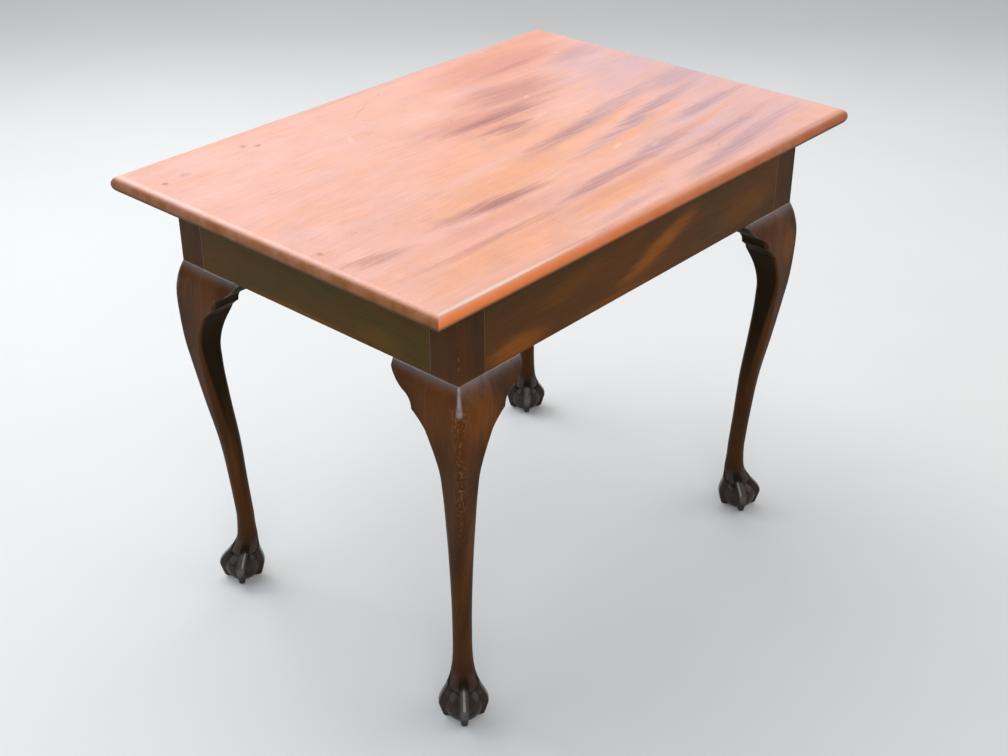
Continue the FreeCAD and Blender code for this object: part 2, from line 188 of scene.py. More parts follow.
# Brown streaks in the top: place along and across it, length, width, turn in degrees, strength
BROWN_STREAKS = (
    (0.156, 0.120, 0.24, 0.090, 0.0, 0.50),
    (0.060, 0.063, 0.30, 0.034, 1.0, 1.00),
    (0.110, 0.070, 0.40, 0.030, 1.0, 0.50),
    (0.084, 0.052, 0.22, 0.014, 1.0, 0.80),
    (0.042, 0.021, 0.09, 0.042, 4.0, 0.80),
    (0.056, -0.002, 0.18, 0.040, 3.0, 0.45),
    (-0.168, -0.136, 0.27, 0.034, -2.0, 0.95),
    (-0.363, -0.138, 0.15, 0.030, -12.0, 0.55),
    (-0.223, -0.203, 0.36, 0.020, 0.0, 0.45),
    (0.061, -0.053, 0.25, 0.040, 9.0, 0.70),
    (0.240, 0.190, 0.30, 0.020, 1.0, 0.50),
    (-0.010, -0.190, 0.26, 0.030, 4.0, 0.55),
)
# Redder ground about the middle of the far side
RED_GROUND = (
    (0.235, 0.212, 0.48, 0.180, 2.0, 0.90),
    (0.360, 0.262, 0.34, 0.090, 0.0, 0.75),
    (0.150, 0.115, 0.30, 0.130, 0.0, 0.80),
    (0.030, 0.075, 0.34, 0.110, 1.0, 0.80),
    (0.080, 0.040, 0.30, 0.070, 2.0, 0.45),
    (-0.180, -0.170, 0.36, 0.050, -1.0, 0.45),
    (0.000, -0.215, 0.60, 0.030, 2.0, 0.40),
)
# Greyer bands that sweep up to the right end, which are darker grain under a painted bluish sheen; a broad
# grey wash that is a painted sky reflection; warmer grounds; and pinker grounds that are a painted sheen
GREY_SHEEN_BANDS = (
    (0.182, -0.038, 0.50, 0.040, 10.0, 0.80),
    (0.201, -0.085, 0.46, 0.038, 11.0, 0.95),
    (0.310, -0.126, 0.26, 0.032, 6.0, 0.85),
    (0.070, -0.178, 0.46, 0.040, 6.0, 0.85),
    (0.224, -0.205, 0.40, 0.032, 6.0, 0.70),
    (0.212, -0.245, 0.46, 0.046, 8.0, 0.80),
    (-0.056, -0.264, 0.24, 0.022, 3.0, 0.45),
    (0.352, 0.155, 0.20, 0.070, 10.0, 0.60),
    (0.363, -0.024, 0.20, 0.080, 8.0, 0.55),
    (0.020, 0.275, 0.70, 0.024, 0.0, 0.35),
)
# Painted sky reflection: a broad grey wash over the right end of the top
GREY_REFLECTION = ((0.380, 0.030, 0.44, 0.46, 0.0, 0.80), (0.270, -0.180, 0.50, 0.28, 4.0, 0.55))
ORANGE_GROUND = (
    (-0.235, -0.228, 0.38, 0.110, 0.0, 0.60),
    (-0.084, -0.096, 0.50, 0.110, 6.0, 0.75),
    (-0.040, -0.010, 0.40, 0.130, 3.0, 0.45),
    (-0.028, -0.225, 0.36, 0.060, 3.0, 0.85),
    (0.240, 0.225, 0.34, 0.110, 0.0, 0.95),
    (0.140, -0.062, 0.36, 0.026, 9.0, 0.75),
    (0.170, -0.112, 0.40, 0.026, 9.0, 0.70),
    (0.240, -0.160, 0.40, 0.026, 7.0, 0.65),
    (0.030, 0.040, 0.26, 0.018, 1.0, 0.80),
)
# Painted sheen: paler, pinker grounds at the left end of the top
PINK_SHEEN = ((-0.330, 0.180, 0.50, 0.34, 0.0, 0.70), (-0.400, -0.020, 0.18, 0.60, 0.0, 0.70))
# Dents near the edges and pale scuffs of the top, in the same terms
DENTS = (
    (-0.390, 0.214, 0.014, 0.012, 0.0, 1.00),
    (-0.354, 0.219, 0.022, 0.018, 0.0, 0.45),
    (-0.244, 0.239, 0.014, 0.011, 20.0, 0.90),
    (-0.227, 0.227, 0.015, 0.013, 0.0, 0.90),
    (-0.397, -0.083, 0.012, 0.016, 0.0, 0.75),
    (-0.047, 0.219, 0.100, 0.0026, 30.0, 0.60),
)
SCUFFS = (
    (-0.131, 0.149, 0.034, 0.012, 60.0, 0.70),
    (0.091, -0.131, 0.036, 0.012, 20.0, 0.80),
    (0.130, -0.165, 0.030, 0.010, 10.0, 0.60),
    (0.154, 0.084, 0.022, 0.010, 30.0, 0.70),
    (0.336, 0.181, 0.014, 0.010, 0.0, 0.80),
    (0.110, 0.020, 0.060, 0.016, 15.0, 0.40),
)
# Painted highlight on the long sides of the round edge, a pale line near the left corners: place along the
# top and up, and the rest
EDGE_HIGHLIGHT = ((-0.330, TABLE_HEIGHT - 0.0018, 0.460, 0.0034, 0.0, 0.85),)
# Orange figure in the long and short aprons and in the knees: place along and across the grain, and the rest
LONG_FIGURE = (
    (0.030, 0.572, 0.230, 0.040, 19.0, 0.90),
    (-0.250, 0.540, 0.150, 0.040, 0.0, 0.80),
    (-0.060, 0.534, 0.220, 0.020, 0.0, 0.35),
    (0.230, 0.560, 0.200, 0.060, 6.0, 0.25),
    (-0.150, 0.585, 0.200, 0.040, 8.0, 0.20),
)
SHORT_FIGURE = ((0.020, 0.532, 0.300, 0.016, 0.0, 0.35), (-0.120, 0.545, 0.120, 0.040, 4.0, 0.20))
KNEE_FIGURE = (
    (0.485, -0.318, 0.110, 0.080, 0.0, 0.42),
    (0.470, 0.340, 0.090, 0.050, 0.0, 0.35),
    (0.260, -0.330, 0.260, 0.020, 0.0, 0.22),
)
# Flecks of bare wood on the outer corners of the right knees, in the same terms as the knees' figure
KNEE_WEAR = ((0.490, 0.352, 0.085, 0.036, 0.0, 0.90),)

# Finishes: streak and fibre scales of the grain, strength and depth of its relief, amounts of scuffs and
# dust, roughness, shine of the bare wood and of its polish, and warmth of the aprons
TOP_GRAIN = (75.0, 620.0)
TOP_LINES = (75.0, 260.0)
FRAME_GRAIN = (60.0, 700.0)
INNER_GRAIN = (160.0, 500.0)
PORE_SCALE = 1400.0
GRAIN_STRENGTH = 0.35
GRAIN_DEPTH = 0.00015
INNER_STRENGTH = 0.4
INNER_DEPTH = 0.0002
TOP_SCUFFS = 0.35
TOP_SPECULAR = 0.15
TOP_COAT = 0.5
TOP_COAT_ROUGHNESS = 0.26
TOP_ROUGHNESS = (0.27, 0.40)
FRAME_SCUFFS = 0.5
FRAME_DUST = 0.30
FRAME_ROUGHNESS = (0.30, 0.46)
FRAME_SPECULAR = 0.05
FRAME_COAT = 0.02
FRAME_COAT_ROUGHNESS = 0.16
CARVED_COAT_IOR = 2.0
LONG_WARMTH = 0.75
# The short aprons' lesser warmth is part of their painted green reflection
SHORT_REFLECTED_WARMTH = 0.40
INNER_SCUFFS = 0.6
INNER_DUST = 0.3
INNER_ROUGHNESS = (0.60, 0.80)
SCREW_SCALE = (9.0, 9.0, 9.0)
# How far noise moves the top's grounds, its small marks and the frame's figure, along and across the grain
GROUND_SWING = (0.16, 0.020)
MARK_SWING = (0.012, 0.006)
FIGURE_SWING = (0.06, 0.012)
# Shares by which colours and marks show on the top and on the legs
STREAK_SHARE = 0.80
PORE_SHARE = 0.20
SCUFF_SHARE = 0.55
DENT_SHARE = 0.6
DENT_RELIEF = 6.0
# Share of the painted shade on inner sides, undersides and creases
INSIDE_SHADE_SHARE = 0.92
BARE_AMOUNT = 0.7
BARE_RELIEF = 0.3
FOOT_BLACK_SHARE = 0.94
# Heights in metres in which the feet grow black and the legs' reddish clouds come and go
FOOT_BLACK_HEIGHTS = (0.110, 0.045)
LEG_WARM_HEIGHTS = (0.36, 0.48)
POST_WARM_HEIGHTS = (APRON_BOTTOM - 0.01, APRON_BOTTOM + 0.01)
# Depths in metres below the table's height between which the round edge and the underside take their
# colours and the polish and the grain's relief come up
EDGE_DEPTHS = (0.0012, 0.0060)
# The second pair is where the painted shade of the lower edge and the underside comes in
UNDER_DEPTHS = (0.0115, 0.0205)
POLISH_DEPTHS = (0.008, 0.003)
RELIEF_DEPTHS = (0.001, 0.0)
# Brightness of the long sides of the edge at their left and right, and softness of the line at its corners
EDGE_BRIGHTNESS = (1.25, 0.60)
MITRE_HALF_WIDTH = 0.0004

# Camera and light
CAMERA_PLACE = (-1.3964, -1.2470, 1.3893)
CAMERA_AZIMUTH = -48.455
CAMERA_ELEVATION = 30.42
CAMERA_LENS = 52.81
CAMERA_SENSOR = 36.0
FLOOR_HALF = 20.0
FLOOR_MOTTLE = 1.02
FLOOR_ROUGHNESS = 0.9
FLOOR_SPECULAR = 0.1
STUDIO_COLOUR = (0.93, 0.96, 1.0, 1.0)
STUDIO_STRENGTH = 0.42
# Soft lamps: place, aim, width, height, power, colour, and whether polish mirrors the lamp
LAMPS = {
    "overhead_lamp": ((0.30, 0.60, 2.80), (0.0, 0.0, 0.5), 2.2, 2.2, 22.0, (1.0, 1.0, 1.0), True),
    "back_lamp": ((-0.30, 2.30, 2.55), (0.0, 0.0, 0.6), 1.7, 1.2, 30.0, (1.0, 0.99, 0.98), True),
    "back_right_lamp": ((1.45, 1.40, 1.50), (0.0, 0.0, 0.66), 3.0, 1.6, 10.5, (0.96, 0.98, 1.0), True),
    "front_lamp": ((-2.60, -2.60, 1.65), (0.0, 0.0, 0.4), 2.4, 2.8, 34.0, (0.96, 0.98, 1.0), False),
    "front_strip": ((-2.40, -2.40, 1.60), (0.0, 0.0, 0.4), 1.2, 2.4, 14.0, (0.97, 0.95, 1.0), True),
    "back_left_lamp": ((-2.25, 1.90, 1.80), (-0.3, 0.0, 0.5), 2.6, 2.6, 22.0, (0.62, 0.82, 1.0), True),
    "front_right_lamp": ((2.10, -2.10, 1.60), (0.2, -0.2, 0.5), 2.6, 2.6, 20.0, (1.0, 0.96, 0.94), True),
}


def length_value(name, description, default):
    """Property for a length in metres."""
    return FloatProperty(name=name, description=description, default=default,
                         min=0.0, unit="LENGTH", precision=4)


def plain_value(name, description, default):
    """Property for a plain number."""
    return FloatProperty(name=name, description=description, default=default, min=0.0)


def colour_value(name, description, default):
    """Property for a colour."""
    return FloatVectorProperty(name=name, description=description, default=default,
                               subtype="COLOR", min=0.0, max=1.0)


class TeaTableSizes(bpy.types.PropertyGroup):
    """Sizes of the carved pieces."""
    post_size: length_value("Post size", "Side of the square post", 0.045)
    post_edge: length_value("Post edge", "Radius of the post's side edges", 0.0002)
    arris_radius: length_value("Arris radius", "Radius of the leg's outer edge at the apron", 0.0015)
    toe_radius: length_value("Toe radius", "Radius of the leg's outer edge at the toe of the knee", 0.008)
    inner_radius: length_value("Inner radius", "Radius of its inner corner at the toe of the knee", 0.011)
    knee_swell: length_value("Knee swell", "How far the knee stands out past the post", 0.012)
    knee_drop: length_value("Knee drop", "From the apron down to the toe of the knee block", 0.070)
    corner_fullness: plain_value("Corner fullness", "Roundness of the knee's swell at its outer edge", 2.6)
    seam_fullness: plain_value("Seam fullness", "Roundness of the knee's swell beside its block", 6.0)
    end_fullness: plain_value("End fullness", "Roundness of the block's swell at its outer end", 3.0)
    shank_hollow: length_value("Shank hollow", "How far the inner side is hollowed back, at most", 0.0157)
    shank_growth: length_value("Shank growth", "Thickness beyond the ankle just below the knee", 0.0208)
    ankle_diameter: length_value("Ankle diameter", "Thickness of the leg at its ankle", 0.0252)
    ankle_height: length_value("Ankle height", "Height of the ankle above the floor", 0.115)
    ball_radius: length_value("Ball radius", "Radius of the ball", 0.026)
    ball_centre: length_value("Ball centre", "Height of the middle of the ball", 0.024)
    foot_inset: length_value("Foot inset", "From the post's outer faces to the middle of the ball", 0.024)
    claw_radius: length_value("Claw radius", "Half the thickness of a claw", 0.0062)
    claw_top: length_value("Claw top", "Height at which the claws leave the neck", 0.080)
    claw_spread: length_value("Claw spread", "From the middle of the ball to the middle of a claw", 0.0273)
    block_length: length_value("Block length", "Length of a knee block along the apron", 0.061)
    block_depth: length_value("Block depth", "Depth of a knee block inwards from the apron's face", 0.034)
    block_end: length_value("Block end", "Height of the block's outer end", 0.009)
    lobe_distance: length_value("Lobe distance", "From the leg to the lower end of the outer lobe", 0.031)
    lobe_drop: length_value("Lobe drop", "From the apron down to the end of the lobe", 0.0325)
    lobe_bulge: length_value("Lobe bulge", "How far the lobe is rounded out", 0.0026)
    cusp_distance: length_value("Cusp distance", "From the leg to the cusp below the lobe", 0.0215)
    cusp_drop: length_value("Cusp drop", "From the apron down to the cusp", 0.050)
    cusp_hollow: length_value("Cusp hollow", "Hollow of the edge between the lobe and the cusp", 0.0025)
    sweep_hollow: length_value("Sweep hollow", "Hollow of the edge between the cusp and the leg", 0.001)


class TeaTableColours(bpy.types.PropertyGroup):
    """Colours of the finishes."""
    top_ground: colour_value("Top ground", "Main colour of the top", (0.85, 0.432, 0.338))
    top_orange: colour_value("Top orange", "Warmer grounds of the top", (0.84, 0.340, 0.150))
    top_red: colour_value("Top red", "Redder far part of the top", (0.66, 0.225, 0.165))
    # Painted sheen: the far left of the top paler and pinker
    top_pink_sheen: colour_value("Top pink", "Pinker far left of the top", (0.88, 0.490, 0.430))
    # Painted sky reflection that makes the right end of the top greyer
    top_grey_reflection: colour_value("Top grey", "Greyer right end of the top", (0.61, 0.370, 0.425))
    # Darker grain bands of the top, tinted grey-lilac by a painted sheen
    top_band_sheen: colour_value("Top band", "Grey bands of the top", (0.40, 0.200, 0.235))
    top_streak: colour_value("Top streak", "Brown streaks of the top", (0.34, 0.080, 0.065))
    top_dent: colour_value("Top dent", "Dents of the top", (0.24, 0.115, 0.110))
    top_scuff: colour_value("Top scuff", "Pale scuffs of the top", (0.92, 0.66, 0.56))
    edge_brown: colour_value("Edge brown", "Long sides of the top's round edge", (0.80, 0.210, 0.050))
    # Ends of the round edge: darker end grain, darkened further by painted shade
    edge_end_grain_and_shade: colour_value("Edge end", "Ends of the top's round edge", (0.27, 0.085, 0.012))
    # Pale colour of the painted highlight on the round edge's long sides
    edge_highlight: colour_value("Edge rub", "Rubbed line on the round edge", (1.0, 0.80, 0.70))
    # Lower part of the round edge and the underside: painted shade over darker unfinished wood
    edge_under_wood_and_shade: colour_value("Edge dark", "Lower part of the edge and underside", (0.085, 0.040, 0.012))
    frame_dark: colour_value("Frame dark", "Dark ground of legs and knee blocks", (0.050, 0.0215, 0.0070))
    frame_red: colour_value("Frame red", "Reddish clouds of the frame", (0.155, 0.048, 0.0095))
    apron_brown: colour_value("Apron brown", "Ground of the long aprons", (0.084, 0.041, 0.011))
    # Short aprons: the same wood, with an olive cast that is a painted green reflection
    apron_olive_reflection: colour_value("Apron olive", "Ground of the short aprons", (0.082, 0.056, 0.013))
    frame_glow: colour_value("Frame glow", "Orange figure of the aprons and knees", (0.340, 0.105, 0.014))
    frame_worn: colour_value("Frame worn", "Wood laid bare on worn edges", (0.43, 0.240, 0.115))
    # Pale colour of the joint lines, and of the painted highlights and sheen on ledges, knee edges and long
    # knees
    frame_line_and_highlight: colour_value("Frame line", "Pale line on rubbed edges and joints", (0.385, 0.345, 0.385))
    # Painted shade on the inner sides of legs, the undersides and backs of knee blocks, and the feet's
    # creases
    frame_inside_shade: colour_value("Frame inside", "Inner sides of legs and knee blocks", (0.014, 0.010, 0.004))
    foot_black: colour_value("Foot black", "Dirt and dark polish on the feet", (0.024, 0.0110, 0.0065))
    inner_pale: colour_value("Inner pale", "Ground of the unfinished inner wood", (0.47, 0.31, 0.165))
    inner_brown: colour_value("Inner brown", "Darker grain of the inner wood", (0.31, 0.185, 0.085))
    steel: colour_value("Steel", "Old screws", (0.33, 0.31, 0.29))
    rust: colour_value("Rust", "Rust on the screws", (0.19, 0.085, 0.040))
    floor: colour_value("Floor", "Plain pale floor", (0.80, 0.80, 0.79))
    floor_bounce: colour_value("Floor bounce", "Floor as it lights the table from below", (0.24, 0.24, 0.22))


def smooth_through(levels, values, at):
    """Cubic curve through values at rising levels, with each slope taken from the neighbouring levels."""
    levels = np.asarray(levels, float)
    values = np.asarray(values, float)
    slopes = np.gradient(values, levels)
    left = np.clip(np.searchsorted(levels, at) - 1, 0, len(levels) - 2)
    width = levels[left + 1] - levels[left]
    way = (at - levels[left]) / width
    rise = way * way * (3 - 2 * way)
    bend_left = way * (1 - way) ** 2 * width * slopes[left]
    bend_right = way * way * (way - 1) * width * slopes[left + 1]
    return values[left] * (1 - rise) + values[left + 1] * rise + bend_left + bend_right


def ease(low, high, at):
    """Smooth step: 0 below low, 1 above high, and 3t² - 2t³ between them."""
    way = np.clip((at - low) / (high - low), 0.0, 1.0)
    return way * way * (3 - 2 * way)


def fade(low, high, at):
    """Smooth step the other way: 1 below low and 0 above high."""
    return 1 - ease(low, high, at)


def bell(distance, width):
    """Bell curve: e to the power of -(distance / width)²."""
    return np.exp(-(distance / width) ** 2)


def ring_faces(rings, points):
    """Quads between neighbouring closed rings, listed from the lowest ring up."""
    ring, point = np.meshgrid(np.arange(rings - 1), np.arange(points), indexing="ij")
    low = ring * points
    high = low + points
    ahead = (point + 1) % points
    return np.stack((low + point, low + ahead, high + ahead, high + point), axis=-1).reshape(-1, 4)


def fan_faces(ring, middle, upwards):
    """Triangles from a ring of point numbers to one point in its middle."""
    ahead = np.roll(ring, -1)
    hub = np.full_like(ring, middle)
    order = (ring, ahead, hub) if upwards else (ahead, ring, hub)
    return np.stack(order, axis=-1)


def capped_rings(rings):
    """Closed skin over a stack of rings, shape (rings, points, 3): quads along it and a fan at each end.
    The last two of its points are the middles of the ends."""
    count, points = rings.shape[:2]
    middles = np.stack((rings[0].mean(axis=0), rings[-1].mean(axis=0)))
    vertices = np.concatenate((rings.reshape(-1, 3), middles))
    first = np.arange(points)
    last = first + (count - 1) * points
    total = count * points
    triangles = np.concatenate((fan_faces(first, total, False), fan_faces(last, total + 1, True)))
    return vertices, [ring_faces(count, points), triangles]


def with_ends(marks, value):
    """Marks on rings as flat lists, with a value for the middle of each end."""
    return {name: np.append(values.ravel(), (value, value)) for name, values in marks.items()}


def make_piece(name, vertices, face_sets, material, node, marks=None, sharp_degrees=SHARP_DEGREES):
    """Smooth mesh object with sharp edges and marks on its points, in place of a node of the frame."""
    mesh = bpy.data.meshes.new(name)
    faces = [face for face_set in face_sets for face in face_set.tolist()]
    mesh.from_pydata(vertices.tolist(), [], faces)
    mesh.shade_smooth()
    mesh.set_sharp_from_angle(angle=math.radians(sharp_degrees))
    for mark, values in (marks or {}).items():
        mesh.attributes.new(mark, "FLOAT", "POINT").data.foreach_set("value", values.astype(np.float32))
    mesh.materials.append(material)
    piece = bpy.data.objects.new(name, mesh)
    bpy.context.scene.collection.objects.link(piece)
    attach(piece, "root")
    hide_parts(node)
    return piece


def at_corner(vertices, face_sets, signs):
    """Places a shape drawn inwards from a post's outer edge at one corner, and keeps its faces outward."""
    x = signs[0] * (FRAME_HALF_LENGTH - vertices[:, 0])
    y = signs[1] * (FRAME_HALF_WIDTH - vertices[:, 1])
    placed = np.stack((x, y, vertices[:, 2]), axis=-1)
    if signs[0] * signs[1] > 0:
        return placed, face_sets
    return placed, [faces[:, ::-1] for faces in face_sets]


def knee_swell(sizes, drop, fullness):
    """Swell of the knee at a drop below the apron: swell × (1 - (1 - drop / whole drop) to the fullness)."""
    left = np.clip(1 - drop / sizes.knee_drop, 0.0, 1.0)
    return sizes.knee_swell * (1 - left ** fullness)


def rounded_rings(corners, radii):
    """Closed rings through four corners each, shape (rings, 4, 2), every corner turned by an arc of its
    radius. An arc's middle lies radius / sin(half angle) in from its corner, on the line that halves the
    angle."""
    back = np.roll(corners, 1, axis=1) - corners
    ahead = np.roll(corners, -1, axis=1) - corners
    back /= np.linalg.norm(back, axis=-1, keepdims=True)
    ahead /= np.linalg.norm(ahead, axis=-1, keepdims=True)
    half_angle = np.arccos((back * ahead).sum(axis=-1)) / 2
    inward = back + ahead
    inward /= np.linalg.norm(inward, axis=-1, keepdims=True)
    middle = corners + inward * (radii / np.sin(half_angle))[..., None]
    turn = np.linspace(-1, 1, ARC_POINTS) * (math.pi / 2 - half_angle)[..., None]
    outward = -inward[:, :, None, :]
    travel = np.stack((-outward[..., 1], outward[..., 0]), axis=-1)
    bend = np.cos(turn)[..., None] * outward + np.sin(turn)[..., None] * travel
    arcs = middle[:, :, None, :] + radii[..., None, None] * bend
    start = arcs[:, :, -1:, :]
    end = np.roll(arcs, -1, axis=1)[:, :, :1, :]
    sides = start + (end - start) * SIDE_SHARES[:, None]
    return np.concatenate((arcs, sides), axis=2).reshape(len(corners), -1, 2)


def leg_levels(sizes):
    """Heights of the leg's rings: close together at the foot, the knee and the line under the apron."""
    toe = APRON_BOTTOM - sizes.knee_drop
    foot = np.linspace(0.0, sizes.claw_top, FOOT_RINGS)
    shank = np.linspace(sizes.claw_top, toe, SHANK_RINGS)
    knee = APRON_BOTTOM - sizes.knee_drop * np.linspace(1, 0, KNEE_RINGS) ** KNEE_CROWDING
    joint = APRON_BOTTOM + np.array(JOINT_RISES)
    post = np.linspace(APRON_BOTTOM + POST_START, FRAME_TOP, POST_RINGS)
    return np.unique(np.concatenate((foot, shank, knee, joint, post)))


def leg_corners(sizes, level):
    """Corners and corner radii of the leg's sections above the ankle.
    Post: a square. Knee: the outer faces swell, more beside the blocks than on the corner. Shank: a square
    that shrinks, moves in and grows rounder down to the ankle, on smooth curves through its sections."""
    toe = APRON_BOTTOM - sizes.knee_drop
    drop = np.clip(APRON_BOTTOM - level, 0.0, sizes.knee_drop)
    share = (drop / sizes.knee_drop) ** 2
    arris = -knee_swell(sizes, drop, sizes.corner_fullness)
    seam = -knee_swell(sizes, drop, sizes.seam_fullness)
    far = np.full_like(level, sizes.post_size)
    outer = sizes.arris_radius + (sizes.toe_radius - sizes.arris_radius) * drop / sizes.knee_drop
    inner = sizes.post_edge + (sizes.inner_radius - sizes.post_edge) * share
    side = np.full_like(level, sizes.post_edge)

    rise, hollow, growth, roundness, side_roundness = np.array(SHANK_SECTIONS).T
    heights = np.append(sizes.ankle_height + rise * (toe - sizes.ankle_height), toe)
    thickness = sizes.ankle_diameter + growth * sizes.shank_growth
    shank_far = sizes.post_size - hollow * sizes.shank_hollow
    shank = level < toe

    def run(values, at_toe):
        return smooth_through(heights, np.append(values, at_toe), level[shank])

    far[shank] = run(shank_far, sizes.post_size)
    seam[shank] = run(shank_far - thickness, -sizes.knee_swell)
    arris[shank] = seam[shank]
    outer[shank] = run(roundness * thickness / 2, sizes.toe_radius)
    inner[shank] = run(roundness * thickness / 2, sizes.inner_radius)
    side[shank] = run(side_roundness * thickness / 2, sizes.post_edge)
    u = np.stack((arris, far, far, seam), axis=-1)
    v = np.stack((arris, seam, far, far), axis=-1)
    return np.stack((u, v), axis=-1), np.stack((outer, side, inner, side), axis=-1)


def foot_axis(sizes, level):
    """Distance of the foot's middle from the post's faces: a smooth step from the ball's to the ankle's."""
    ankle = sizes.post_size - sizes.ankle_diameter / 2
    return sizes.foot_inset + (ankle - sizes.foot_inset) * ease(sizes.ball_centre, sizes.claw_top, level)


def neck_radius(sizes, level):
    """Radius of the neck: a smooth curve from the ankle's down through its sections, and 0 below the ball's
    middle."""
    ankle = sizes.ankle_diameter / 2
    down, growth = np.array(NECK_SECTIONS).T
    levels = sizes.ankle_height - down * (sizes.ankle_height - sizes.ball_centre)
    radius = smooth_through(levels, ankle + growth * (sizes.ball_radius - ankle), level)
    return np.where(level < sizes.ball_centre, 0.0, radius)


def foot_rings(sizes, level, ankle_ring):
    """Rings of the foot around its axis. The radius at an angle is the soft greatest of three: the neck, the
    ball √(R² - (z - centre)²), and four claws, each a flattened round of radius c at distance p, reached at
    p cos d + c (1 - (p sin d / c)ⁿ) to the power 1/n for an angle d off its direction. Creases are where two
    of them are nearly equal, and crests are the flat tops of the claws."""
    offset = ankle_ring - foot_axis(sizes, sizes.ankle_height)
    angle = np.arctan2(offset[:, 1], offset[:, 0])
    ankle_shape = np.linalg.norm(offset, axis=-1) / (sizes.ankle_diameter / 2)
    neck = neck_radius(sizes, level)[:, None] * ankle_shape
    height = level - sizes.ball_centre
    ball = np.sqrt(np.clip(sizes.ball_radius ** 2 - height ** 2, 0.0, None))[:, None]
    rise, spread, thick = np.array(CLAW_SECTIONS).T
    spread = smooth_through(rise * sizes.claw_top, spread * sizes.claw_spread, level)[:, None, None]
    thick = smooth_through(rise * sizes.claw_top, thick * sizes.claw_radius, level)[:, None, None]
    away = angle[None, :, None] - CLAW_ANGLES
    aside = np.clip(np.abs(spread * np.sin(away)) / thick, 0.0, 1.0)
    reached = spread * np.cos(away) + thick * (1 - aside ** CLAW_FLATNESS) ** (1 / CLAW_FLATNESS)
    claws = np.where((aside < 1) & (np.cos(away) > 0), reached, 0.0).max(axis=-1)
    forms = np.stack((neck, np.broadcast_to(ball, neck.shape), claws))
    radius = CLAW_BLEND * np.log(np.exp(forms / CLAW_BLEND).sum(axis=0))
    for _ in range(CLAW_SMOOTHINGS):
        radius = radius / 2 + (np.roll(radius, 1, axis=1) + np.roll(radius, -1, axis=1)) / 4
    middle = foot_axis(sizes, level)[:, None]
    ranked = np.sort(forms, axis=0)
    crease = bell(ranked[-1] - ranked[-2], CREASE_WIDTH)
    off_crest = np.where(np.cos(away) > 0, aside, 1.0).min(axis=-1)
    crest = fade(*CREST_SHARES, off_crest) * (claws >= ranked[-1]) * ease(*CREST_HEIGHTS, level)[:, None]
    rings = np.stack((middle + radius * np.cos(angle), middle + radius * np.sin(angle)), axis=-1)
    return rings, crease, crest


def leg_skin(sizes):
    """Skin of a leg, drawn inwards from the outer edge of its post, and the marks on its points."""
    level = leg_levels(sizes)
    upper = level >= sizes.ankle_height
    rings = rounded_rings(*leg_corners(sizes, level[upper]))
    ankle = rounded_rings(*leg_corners(sizes, np.array((sizes.ankle_height,))))[0]
    foot, crease, crest = foot_rings(sizes, level[~upper], ankle)
    plain = np.zeros(rings.shape[:2])
    crease = np.concatenate((crease, plain))
    crest = np.concatenate((crest, plain))
    rings = np.concatenate((foot, rings))
    heights = np.broadcast_to(level[:, None, None], rings.shape[:2] + (1,))
    vertices, faces = capped_rings(np.concatenate((rings, heights), axis=-1))
    return vertices, faces, with_ends(leg_marks(rings, level, crease, crest), 0.0)


